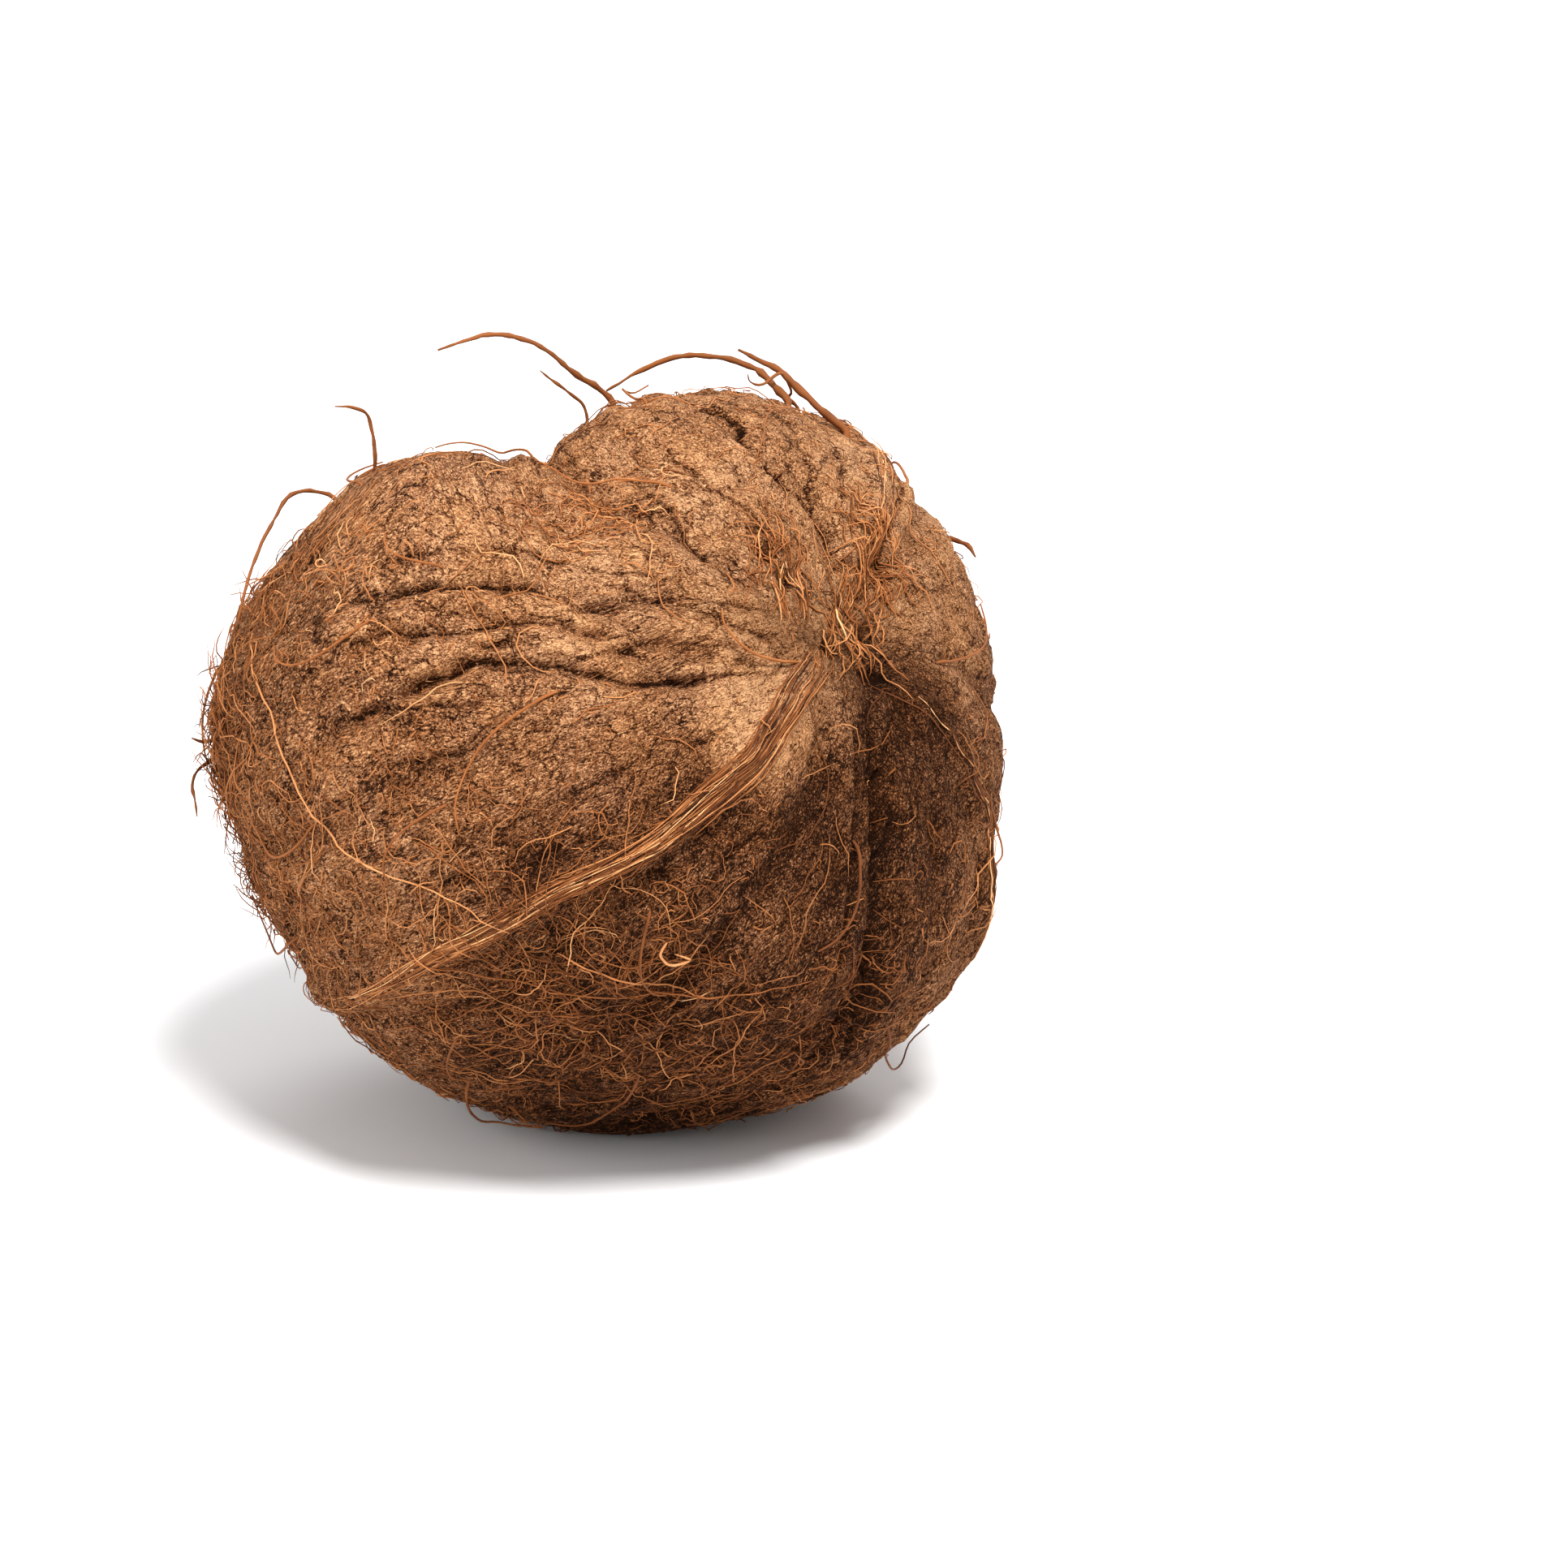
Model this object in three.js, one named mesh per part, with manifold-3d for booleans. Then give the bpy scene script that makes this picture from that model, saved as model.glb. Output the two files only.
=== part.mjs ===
// A husked coconut: a nearly round brown husk drawn in to a stem end, with a deep valley on its
// shoulder, flat ribs and furrows that run from end to end, and loose strands of coir all round.
// Millimetres, +Z up. X is to the right of the viewer, Y away from the viewer. The origin is the
// centre of the flat spot that it rests on.
import * as THREE from "three";
import { mergeVertices } from "three/addons/utils/BufferGeometryUtils.js";
import Module from "manifold-3d";

// Sizes of the husk.
const HUSK_RADIUS = 62.8;
const REST_RADIUS = 60.6; // distance from the middle of the husk to its underside
const REST_DROP = 58.3; // height of the middle of the husk over the flat spot
const REST_SPREAD = 24; // degrees round the underside that have no relief
const REST_EDGE = 6; // how sharply the relief comes back past that

// The stem end faces the viewer from the upper right. Polar angles run from it to the far end, and
// turn angles run round it from the side that faces down.
const STEM = new THREE.Vector3(0.625, -0.563, 0.541).normalize();
const STEM_SIDE = new THREE.Vector3(-0.504, -0.82, -0.271);
const ZERO = STEM_SIDE.addScaledVector(STEM, -STEM_SIDE.dot(STEM)).normalize();
const QUARTER = new THREE.Vector3().crossVectors(STEM, ZERO);
const DOWN = new THREE.Vector3(0, 0, -1);

// The viewer looks down on the coconut by this angle. Loose strands are given as seen from there.
const VIEW_TILT = THREE.MathUtils.degToRad(18);
const VIEW_UP = new THREE.Vector3(0, Math.sin(VIEW_TILT), Math.cos(VIEW_TILT));
const VIEW_RIGHT = new THREE.Vector3(1, 0, 0);
const TO_VIEWER = new THREE.Vector3(0, -Math.cos(VIEW_TILT), Math.sin(VIEW_TILT));

// Broad swells and hollows: polar angle, turn angle, height in mm and width in degrees.
const SWELLS = [
  [60, -150, 2.8, 26],
  [60, -125, -1.8, 18],
  [112, -82, 0.4, 22],
  [120, -55, 2.1, 26],
  [80, 92, 2.7, 30],
  [150, -10, -4.0, 30],
  [42, -170, 3.0, 24],
  [92, 45, -5.8, 32],
  [108, -110, 3.7, 18],
  [140, -60, 2.7, 26],
  [100, 150, 1.6, 28],
  [24, -16, 1.6, 9],
  [135, 110, -1.8, 24],
  [180, 0, 3.2, 20],
  [0, 0, -6.0, 13],
];

// The valley: polar angles, its turn angle at each, and its depth at each.
const VALLEY_POLAR = [0, 15, 30, 43, 55, 65, 78, 95, 120];
const VALLEY_TURN = [-64, -64, -77, -79, -89, -100, -112, -121, -130];
const VALLEY_DEPTH = [5.8, 5.8, 5.8, 5.8, 5.8, 7.4, 11.4, 11.4, 5.7];
const VALLEY_WIDTH = { near: 16, far: 21 }; // degrees, on the dome's side and on the other
const VALLEY_START = 30;
const VALLEY_END = 118;
const VALLEY_FADE = 9;

// Flat ribs and furrows, as measured: polar angles, the turn angle at each, height and half width
// in mm. A rib has a flat top and a furrow is round.
const RIBS = [
  { polar: [5, 14, 28, 45, 61, 83, 109, 125], turn: [0, 1, 8, 6, 2, 0, 0, -3], height: 2.2, width: 3.0 },
  { polar: [4, 15, 26, 48, 70, 110], turn: [-134, -150, -157, -160, -154, -148], height: 1.8, width: 2.6 },
  { polar: [8, 40, 80, 120], turn: [104, 108, 103, 110], height: 1.6, width: 3.0 },
];
const FURROWS = [
  { polar: [14, 30, 43, 55, 78, 104], turn: [-64, -77, -79, -89, -112, -124], height: -2.2, width: 2.8 },
  { polar: [14, 31, 39, 47, 59, 70, 86], turn: [-14, -35, -47, -53, -56, -56, -58], height: -2.2, width: 2.2 },
  { polar: [22, 30, 39, 49, 59, 76], turn: [-16, -22, -39, -46, -48, -45], height: -1.8, width: 2.2 },
  { polar: [24, 40, 47, 58, 72, 92], turn: [-20, -29, -35, -39, -37, -34], height: -1.6, width: 2.0 },
  { polar: [8, 20, 27, 44], turn: [-134, -128, -125, -116], height: -2.2, width: 2.2 },
  { polar: [8, 20, 34, 56], turn: [-150, -170, -174, -172], height: -2.4, width: 2.8 },
  { polar: [10, 33, 46, 74], turn: [58, 63, 66, 70], height: -3.0, width: 3.2 },
  { polar: [9, 34, 60, 88], turn: [30, 33, 30, 27], height: -2.2, width: 2.6 },
  { polar: [14, 36, 62, 96], turn: [142, 138, 144, 141], height: -1.8, width: 2.6 },
];
const LINE_FADE = 8; // degrees over which a rib or a furrow fades at its ends
const RIB_POWER = 4; // gives a rib its flat top
const FURROW_POWER = 2; // gives a furrow its round bottom

// Smaller furrows, which run along the grain, and lumps fill the rest of the husk.
const SMALL_FURROWS = 30;
const SMALL_FURROW_START = [18, 66]; // polar angle
const SMALL_FURROW_LENGTH = [45, 95]; // degrees
const SMALL_FURROW_DRIFT = { middle: [-5, 5], end: [-8, 8] }; // degrees off the grain
const SMALL_FURROW_DEPTH = [0.7, 1.5];
const SMALL_FURROW_WIDTH = [1.9, 2.8];
const LUMPS = 60;
const LUMP_JITTER = 14; // degrees within which a lump is moved off its even place
const LUMP_HEIGHT = 0.9;
const LUMP_WIDTH = [7, 13];

// The grain sways a little from end to end, and bends with the valley.
const SWAY = [
  { size: 6, waves: 1, along: 1.7, phase: 0.4 },
  { size: 3, waves: 2, along: 3.1, phase: 2.2 },
];
const BEND_TURN = -77; // the turn angle of the grain that stays in the valley
const BEND_SPREAD = { dome: 75, lobe: 34 }; // how far the bend reaches on either side of it
const GRAIN_ROUNDS = 10; // rounds in which the grain at a place is found

// The mesh of the husk, with its columns along the grain.
const COLUMNS = 108;
const ROWS = 33;
const END_ROW = 5; // degrees from an end to the first row

// Loose strands that stand off the husk, as seen by the viewer: mm right and up of its middle,
// from the root to the tip, how far towards the viewer its two ends are, and the radius.
const LOOSE = [
  {
    at: [[-0.7, 60], [-3.3, 62.3], [-6, 64], [-8, 65.3], [-11.7, 68.4], [-17.1, 70.3], [-21.3, 70.3],
      [-24, 69.3], [-28.7, 67.7]],
    near: [0, 12], radius: 0.7,
  },
  { at: [[-5.1, 58.7], [-8, 61.3], [-12.3, 64.5]], near: [4, 9], radius: 0.65 },
  {
    at: [[28.3, 59.7], [26, 62.7], [23.3, 65.3], [18.7, 67.3], [13.3, 68.1], [9.3, 67.9], [4, 66],
      [-2, 62.7]],
    near: [0, -13], radius: 0.8,
  },
  { at: [[37.7, 54.7], [32.7, 59.3], [27.3, 64.7], [24, 66.7], [20, 68.9]], near: [4, -6], radius: 0.95 },
  {
    at: [[30, 58.9], [28.3, 60.7], [28.7, 62], [27.1, 64.7], [24, 62.8], [22, 63.1], [21.6, 64.4]],
    near: [-4, 3], radius: 0.65,
  },
  { at: [[-40, 47.3], [-39.6, 51.3], [-40.3, 56.7], [-42, 58.4], [-45.6, 58.7]], near: [0, 9], radius: 0.7 },
  { at: [[-47.3, 44.7], [-52.7, 44.7], [-56, 39.3], [-58.7, 32.7], [-61.3, 22]], near: [3, 15], radius: 0.7 },
  { at: [[-60.7, 24.7], [-61.7, 26.7], [-62.9, 23.3], [-65.3, 15.3], [-68, 9.3]], near: [0, -9], radius: 0.7 },
  { at: [[-65.3, 5.3], [-67.3, 4], [-69.3, 4.7]], near: [0, 5], radius: 0.65 },
  { at: [[-66, 1.3], [-68.9, -2], [-67.7, -8]], near: [3, 12], radius: 0.65 },
  { at: [[54, 37.3], [57.3, 36.4], [58.7, 34.3]], near: [2, 7], radius: 0.8 },
];

// Long strands that lie on the side that faces the viewer, in the same measure.
const LYING = [
  { at: [[-56, 20.7], [-52, 3.3], [-44, -11.3], [-26.7, -20], [-14.7, -25.3]], lift: 0.7, radius: 0.75 },
  { at: [[9.3, -27.3], [8.3, -29.3], [10, -31.3], [13.1, -30.7], [10.7, -29.7]], lift: 2, radius: 0.7 },
  { at: [[-34.7, -27.3], [-18, -34], [-1.3, -37.3], [16, -37.3], [32, -34]], lift: 0.7, radius: 0.75 },
  { at: [[-8, -30], [4, -34.5], [16, -37.5]], lift: 0.9, radius: 0.7 },
];
const LYING_BELLY = 0.6; // how much of the lift is lost at the two ends

// Strands that lie at random over the rest of the husk, evenly on all sides.
const STRANDS = 46;
const STRAND_JITTER = 16; // degrees within which a strand's root is moved off its even place
const STRAND_LENGTH = [14, 34];
const STRAND_RADIUS = [0.62, 0.78];
const STRAND_LIFT = [1.2, 3.4];
const STRAND_BEND = 2.4; // degrees that a strand turns in each step
const STRAND_STEPS = 8;
const STRAND_ARC = 0.75; // share of a half wave that its height follows from root to tip
const STRAND_SPREAD = 38; // degrees that a strand may start away from the grain
const STRAND_FLOOR = 3; // height over the flat spot that every strand keeps

const ROOT_SINK = 2.6; // how deep each root is sunk in the husk
const TIP_SHARE = 0.62; // radius of a strand's tip as a share of its radius
const TUBE_SIDES = 3;
const SLIVER = 0.02; // the longest edge that is taken out where strands meet the husk
const WELD = 1e-4; // points of one mesh that are closer than this are one
const SEED = 5309;

const HUSK_COLOUR = 0x8a5a36;
const HUSK_ROUGHNESS = 0.95;

const { degToRad, radToDeg, lerp, clamp, smoothstep } = THREE.MathUtils;
const wasm = await Module();
wasm.setup();

// A seeded source of random numbers from 0 to 1.
function randomFrom(seed) {
  let state = seed >>> 0;
  return () => {
    state = (state + 0x6d2b79f5) >>> 0;
    let t = Math.imul(state ^ (state >>> 15), state | 1);
    t ^= t + Math.imul(t ^ (t >>> 7), t | 61);
    return ((t ^ (t >>> 14)) >>> 0) / 4294967296;
  };
}

const random = randomFrom(SEED);
const between = ([low, high]) => lerp(low, high, random());
const wrapTurn = (turn) => THREE.MathUtils.euclideanModulo(turn + 180, 360) - 180;
const bell = (x) => Math.exp(-x * x);
const mmPerDegree = degToRad(HUSK_RADIUS);

function interpolate(x, xs, ys) {
  if (x <= xs[0]) return ys[0];
  for (let i = 1; i < xs.length; i++) {
    if (x <= xs[i]) return lerp(ys[i - 1], ys[i], (x - xs[i - 1]) / (xs[i] - xs[i - 1]));
  }
  return ys[ys.length - 1];
}

// The outward direction at a polar and a turn angle.
function directionAt(polar, turn) {
  const p = degToRad(polar);
  const t = degToRad(turn);
  return new THREE.Vector3()
    .addScaledVector(STEM, Math.cos(p))
    .addScaledVector(ZERO, Math.sin(p) * Math.cos(t))
    .addScaledVector(QUARTER, Math.sin(p) * Math.sin(t));
}

function anglesOf(direction) {
  return {
    polar: radToDeg(Math.acos(clamp(direction.dot(STEM), -1, 1))),
    turn: radToDeg(Math.atan2(direction.dot(QUARTER), direction.dot(ZERO))),
  };
}

const degreesBetween = (a, b) => radToDeg(Math.acos(clamp(a.dot(b), -1, 1)));

// Directions spread evenly over the whole husk, each moved a little at random.
function spreadDirections(count, jitter) {
  const goldenTurn = 180 * (3 - Math.sqrt(5));
  const made = [];
  for (let i = 0; i < count; i++) {
    const polar = radToDeg(Math.acos(1 - (2 * (i + 0.5)) / count));
    const moved = clamp(polar + jitter * (random() - 0.5), 1, 179);
    made.push(directionAt(moved, i * goldenTurn + jitter * (random() - 0.5)));
  }
  return made;
}

const swells = SWELLS.map(([polar, turn, height, width]) => ({
  direction: directionAt(polar, turn),
  height,
  width,
}));
const lumps = spreadDirections(LUMPS, LUMP_JITTER).map((direction) => ({
  direction,
  height: LUMP_HEIGHT * (2 * random() - 1),
  width: between(LUMP_WIDTH),
}));
const smallFurrows = Array.from({ length: SMALL_FURROWS }, (_, i) => {
  const turn = ((i + random()) * 360) / SMALL_FURROWS - 180;
  const start = between(SMALL_FURROW_START);
  const end = start + between(SMALL_FURROW_LENGTH);
  return {
    polar: [start, lerp(start, end, 0.5), end],
    turn: [turn, turn + between(SMALL_FURROW_DRIFT.middle), turn + between(SMALL_FURROW_DRIFT.end)],
    height: -between(SMALL_FURROW_DEPTH),
    width: between(SMALL_FURROW_WIDTH),
  };
});

// Height that a rib or a furrow adds at a place on the husk.
function lineRelief(line, polar, turn, power) {
  const first = line.polar[0];
  const last = line.polar[line.polar.length - 1];
  if (polar <= first || polar >= last) return 0;
  const middle = interpolate(polar, line.polar, line.turn);
  const across = Math.abs(wrapTurn(turn - middle)) * Math.sin(degToRad(polar)) * mmPerDegree;
  const ends = smoothstep(polar, first, first + LINE_FADE) * (1 - smoothstep(polar, last - LINE_FADE, last));
  return line.height * ends * Math.exp(-((across / line.width) ** power));
}

function valleyDepth(polar, turn) {
  const across = wrapTurn(turn - interpolate(polar, VALLEY_POLAR, VALLEY_TURN)) * Math.sin(degToRad(polar));
  const width = across < 0 ? VALLEY_WIDTH.near : VALLEY_WIDTH.far;
  const start = 1 / (1 + Math.exp((VALLEY_START - polar) / VALLEY_FADE));
  const end = 1 / (1 + Math.exp((polar - VALLEY_END) / VALLEY_FADE));
  return interpolate(polar, VALLEY_POLAR, VALLEY_DEPTH) * bell(across / width) * start * end;
}

// The turn angle, at a polar angle, of the grain that has this number.
function turnOfGrain(polar, grain) {
  const fade = Math.sin(degToRad(polar));
  let turn = grain;
  for (const { size, waves, along, phase } of SWAY) {
    turn += size * fade * Math.sin(waves * degToRad(grain) + along * degToRad(polar) + phase);
  }
  const bend = interpolate(polar, VALLEY_POLAR, VALLEY_TURN) - BEND_TURN;
  const away = wrapTurn(grain - BEND_TURN);
  return turn + bend * bell(away / (away < 0 ? BEND_SPREAD.dome : BEND_SPREAD.lobe));
}

// The number of the grain at a place.
function grainAt(polar, turn) {
  let grain = turn;
  for (let round = 0; round < GRAIN_ROUNDS; round++) grain += wrapTurn(turn - turnOfGrain(polar, grain));
  return grain;
}

// Distance from the middle of the husk to its surface.
function surfaceRadius(direction) {
  const { polar, turn } = anglesOf(direction);
  const grain = grainAt(polar, turn);
  let radius = HUSK_RADIUS - valleyDepth(polar, turn);
  for (const { direction: centre, height, width } of [...swells, ...lumps]) {
    radius += height * bell(degreesBetween(direction, centre) / width);
  }
  for (const rib of RIBS) radius += lineRelief(rib, polar, turn, RIB_POWER);
  for (const furrow of FURROWS) radius += lineRelief(furrow, polar, turn, FURROW_POWER);
  for (const furrow of smallFurrows) radius += lineRelief(furrow, polar, grain, FURROW_POWER);
  const rest = Math.exp(-((degreesBetween(direction, DOWN) / REST_SPREAD) ** REST_EDGE));
  return lerp(radius, REST_RADIUS, rest);
}

const onSurface = (direction, lift) => direction.clone().multiplyScalar(surfaceRadius(direction) + lift);

function toManifold(geometry) {
  const merged = mergeVertices(geometry, WELD);
  const mesh = new wasm.Mesh({
    numProp: 3,
    vertProperties: merged.attributes.position.array,
    triVerts: new Uint32Array(merged.index.array),
  });
  return new wasm.Manifold(mesh);
}

// A closed skin over rings of equal length, with a point at each end. The rings run clockwise as
// seen along the skin from its first end.
function closedSkin(first, rings, last) {
  const points = [first, ...rings.flat(), last];
  const count = rings[0].length;
  const at = (ring, i) => 1 + ring * count + (i % count);
  const end = points.length - 1;
  const index = [];
  for (let i = 0; i < count; i++) {
    index.push(0, at(0, i), at(0, i + 1));
    for (let ring = 0; ring + 1 < rings.length; ring++) {
      index.push(at(ring, i), at(ring + 1, i), at(ring + 1, i + 1));
      index.push(at(ring, i), at(ring + 1, i + 1), at(ring, i + 1));
    }
    index.push(end, at(rings.length - 1, i + 1), at(rings.length - 1, i));
  }
  return new THREE.BufferGeometry().setFromPoints(points).setIndex(index);
}

function huskBody() {
  const rings = [];
  for (let row = 0; row < ROWS; row++) {
    const polar = lerp(END_ROW, 180 - END_ROW, row / (ROWS - 1));
    const ring = [];
    for (let column = 0; column < COLUMNS; column++) {
      const turn = turnOfGrain(polar, (column * 360) / COLUMNS);
      ring.push(onSurface(directionAt(polar, turn), 0));
    }
    rings.push(ring);
  }
  return toManifold(closedSkin(onSurface(directionAt(0, 0), 0), rings, onSurface(directionAt(180, 0), 0)));
}

// A strand of coir: a tube along a smooth curve through the points, thinner at its tip.
function strand(points, radius, steps) {
  const curve = new THREE.CatmullRomCurve3(points);
  const frames = curve.computeFrenetFrames(steps, false);
  const centres = curve.getSpacedPoints(steps);
  const rings = centres.map((centre, i) => {
    const size = radius * lerp(1, TIP_SHARE, i / steps);
    return Array.from({ length: TUBE_SIDES }, (_, side) => {
      const angle = (-2 * Math.PI * side) / TUBE_SIDES;
      return centre
        .clone()
        .addScaledVector(frames.normals[i], size * Math.cos(angle))
        .addScaledVector(frames.binormals[i], size * Math.sin(angle));
    });
  });
  return toManifold(closedSkin(centres[0], rings, centres[steps]));
}

function asSeen([right, up], towards) {
  return new THREE.Vector3()
    .addScaledVector(VIEW_RIGHT, right)
    .addScaledVector(VIEW_UP, up)
    .addScaledVector(TO_VIEWER, towards);
}

function looseStrand({ at, near, radius }) {
  const points = at.map((place, i) => asSeen(place, lerp(near[0], near[1], i / (at.length - 1))));
  const root = onSurface(points[0].clone().normalize(), -ROOT_SINK);
  return strand([root, ...points], radius, 2 * at.length);
}

function lyingStrand({ at, lift, radius }) {
  const last = at.length - 1;
  const directions = at.map((place) => {
    const towards = Math.sqrt(HUSK_RADIUS ** 2 - place[0] ** 2 - place[1] ** 2);
    return asSeen(place, towards).normalize();
  });
  const points = directions.map((direction, i) => {
    const belly = Math.sin((Math.PI * i) / last);
    return onSurface(direction, lift * (1 - LYING_BELLY + LYING_BELLY * belly));
  });
  return strand([onSurface(directions[0], -ROOT_SINK), ...points], radius, 2 * at.length + 2);
}

// A strand that starts at a place on the husk and creeps over it near the grain.
function creepingStrand(start) {
  const length = between(STRAND_LENGTH);
  const lift = between(STRAND_LIFT);
  const radius = between(STRAND_RADIUS);
  const bend = degToRad(STRAND_BEND) * (random() < 0.5 ? -1 : 1) * (1 + random());
  const spread = degToRad(STRAND_SPREAD) * (2 * random() - 1);
  const heading = new THREE.Vector3().crossVectors(STEM, start).cross(start);
  heading.normalize().applyAxisAngle(start, spread);
  const here = start.clone();
  const points = [onSurface(here, -ROOT_SINK)];
  for (let step = 0; step < STRAND_STEPS; step++) {
    const side = new THREE.Vector3().crossVectors(here, heading);
    here.addScaledVector(heading, length / STRAND_STEPS / HUSK_RADIUS).normalize();
    heading.crossVectors(side, here).normalize().applyAxisAngle(here, bend * step);
    const arc = (STRAND_ARC * Math.PI * (step + 1)) / STRAND_STEPS;
    points.push(onSurface(here, lift * Math.sin(arc)));
  }
  const lowest = Math.min(...points.map((point) => point.z));
  return lowest < STRAND_FLOOR - REST_DROP ? null : strand(points, radius, STRAND_STEPS + 1);
}

const strands = [
  ...LOOSE.map(looseStrand),
  ...LYING.map(lyingStrand),
  ...spreadDirections(STRANDS, STRAND_JITTER).map(creepingStrand),
].filter(Boolean);

// Everything is fused, the slivers where strands meet the husk go, and the underside is cut flat.
const fused = wasm.Manifold.union([huskBody(), ...strands]).simplify(SLIVER);
const coconut = fused.trimByPlane([0, 0, 1], -REST_DROP);

// The largest piece of the fused solid as a geometry, raised to stand on the flat spot.
function huskGeometry(solid) {
  const whole = solid.decompose().reduce((a, b) => (a.volume() > b.volume() ? a : b));
  const mesh = whole.translate([0, 0, REST_DROP]).getMesh();
  const geometry = new THREE.BufferGeometry();
  geometry.setAttribute("position", new THREE.BufferAttribute(mesh.vertProperties, 3));
  geometry.setIndex(new THREE.BufferAttribute(mesh.triVerts, 1));
  geometry.computeVertexNormals();
  return geometry;
}

const material = new THREE.MeshStandardMaterial({
  name: "husk",
  color: HUSK_COLOUR,
  roughness: HUSK_ROUGHNESS,
  metalness: 0,
});
const husk = new THREE.Mesh(huskGeometry(coconut), material);
husk.name = "coconut";

const part = new THREE.Group();
part.name = "husked_coconut";
part.add(husk);

export default part;
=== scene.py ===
"""A husked coconut with its coir, on a pale floor.

The husk follows the solid's rule, with bark, cracks and thousands of fibres added. Sizes are in
millimetres and degrees, measured from the middle of the husk, until a mesh is made.
"""

import math

import bpy
import numpy as np
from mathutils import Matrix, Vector, noise


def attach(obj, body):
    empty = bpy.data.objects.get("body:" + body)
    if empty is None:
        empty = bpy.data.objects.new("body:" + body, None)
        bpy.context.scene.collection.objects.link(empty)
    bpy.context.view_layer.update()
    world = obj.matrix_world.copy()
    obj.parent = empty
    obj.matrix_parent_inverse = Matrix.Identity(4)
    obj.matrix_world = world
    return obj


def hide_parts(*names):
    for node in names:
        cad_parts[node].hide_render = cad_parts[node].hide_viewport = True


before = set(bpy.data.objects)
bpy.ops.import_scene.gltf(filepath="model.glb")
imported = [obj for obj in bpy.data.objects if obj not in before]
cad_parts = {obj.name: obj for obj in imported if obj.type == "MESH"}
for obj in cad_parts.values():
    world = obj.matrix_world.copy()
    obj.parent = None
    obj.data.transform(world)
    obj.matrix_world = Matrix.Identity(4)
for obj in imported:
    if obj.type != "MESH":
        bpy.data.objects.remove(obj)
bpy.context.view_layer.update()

MM = 0.001
BAKE_MAP = "OFBake"
BAKE_MARGIN = 0.01
WALL_ENDS = (0.03, 0.97)  # heights in the bake map between which the wall of a tube lies

# Sizes of the husk, as in the solid.
HUSK_RADIUS = 62.8
REST_RADIUS = 60.6
REST_DROP = 58.3
REST_SPREAD = 24
REST_EDGE = 6
MM_PER_DEGREE = math.radians(HUSK_RADIUS)


def unit(vectors):
    vectors = np.asarray(vectors, dtype=float)
    return vectors / np.linalg.norm(vectors, axis=-1, keepdims=True)


# The stem end faces the viewer from the upper right. Polar angles run from it, and turn angles
# run round it.
STEM = unit([0.625, -0.563, 0.541])
STEM_SIDE = np.array([-0.504, -0.82, -0.271])
ZERO = unit(STEM_SIDE - STEM * (STEM_SIDE @ STEM))
QUARTER = np.cross(STEM, ZERO)
DOWN = np.array([0.0, 0.0, -1.0])

# The viewer looks down on the coconut by this angle.
VIEW_TILT_DEGREES = 18
VIEW_TILT = math.radians(VIEW_TILT_DEGREES)
VIEW_RIGHT = np.array([1.0, 0.0, 0.0])
VIEW_UP = np.array([0.0, math.sin(VIEW_TILT), math.cos(VIEW_TILT)])
TO_VIEWER = np.array([0.0, -math.cos(VIEW_TILT), math.sin(VIEW_TILT)])

# Broad swells and hollows: polar angle, turn angle, height and width.
SWELLS = [
    (60, -150, 2.8, 26),
    (60, -125, -1.8, 18),
    (112, -82, 0.4, 22),
    (120, -55, 2.1, 26),
    (80, 92, 2.7, 30),
    (150, -10, -4.0, 30),
    (42, -170, 3.0, 24),
    (92, 45, -5.8, 32),
    (108, -110, 3.7, 18),
    (140, -60, 2.7, 26),
    (100, 150, 1.6, 28),
    (24, -16, 1.6, 9),
    (135, 110, -1.8, 24),
    (180, 0, 3.2, 20),
    (0, 0, -6.0, 13),
]

# The valley: polar angles, and its turn angle and depth at each.
VALLEY_POLAR = [0, 15, 30, 43, 55, 65, 78, 95, 120]
VALLEY_TURN = [-64, -64, -77, -79, -89, -100, -112, -121, -130]
VALLEY_DEPTH = [5.8, 5.8, 5.8, 5.8, 5.8, 7.4, 11.4, 11.4, 5.7]
VALLEY_WIDTH_NEAR = 16
VALLEY_WIDTH_FAR = 21
VALLEY_START = 30
VALLEY_END = 118
VALLEY_FADE = 9

# Ribs and furrows: polar angles, turn angles, height and half width.
RIBS = [
    ([5, 14, 28, 45, 61, 83, 109, 125], [0, 1, 8, 6, 2, 0, 0, -3], 2.2, 3.0),
    ([4, 15, 26, 48, 70, 110], [-134, -150, -157, -160, -154, -148], 1.8, 2.6),
    ([8, 40, 80, 120], [104, 108, 103, 110], 1.6, 3.0),
]
FURROWS = [
    ([14, 30, 43, 55, 78, 104], [-64, -77, -79, -89, -112, -124], -2.2, 2.8),
    ([14, 31, 39, 47, 59, 70, 86], [-14, -35, -47, -53, -56, -56, -58], -2.2, 2.2),
    ([22, 30, 39, 49, 59, 76], [-16, -22, -39, -46, -48, -45], -1.8, 2.2),
    ([24, 40, 47, 58, 72, 92], [-20, -29, -35, -39, -37, -34], -1.6, 2.0),
    ([8, 20, 27, 44], [-134, -128, -125, -116], -2.2, 2.2),
    ([8, 20, 34, 56], [-150, -170, -174, -172], -2.4, 2.8),
    ([10, 33, 46, 74], [58, 63, 66, 70], -3.0, 3.2),
    ([9, 34, 60, 88], [30, 33, 30, 27], -2.2, 2.6),
    ([14, 36, 62, 96], [142, 138, 144, 141], -1.8, 2.6),
]
LINE_FADE = 8
RIB_POWER = 4
FURROW_POWER = 2

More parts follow.
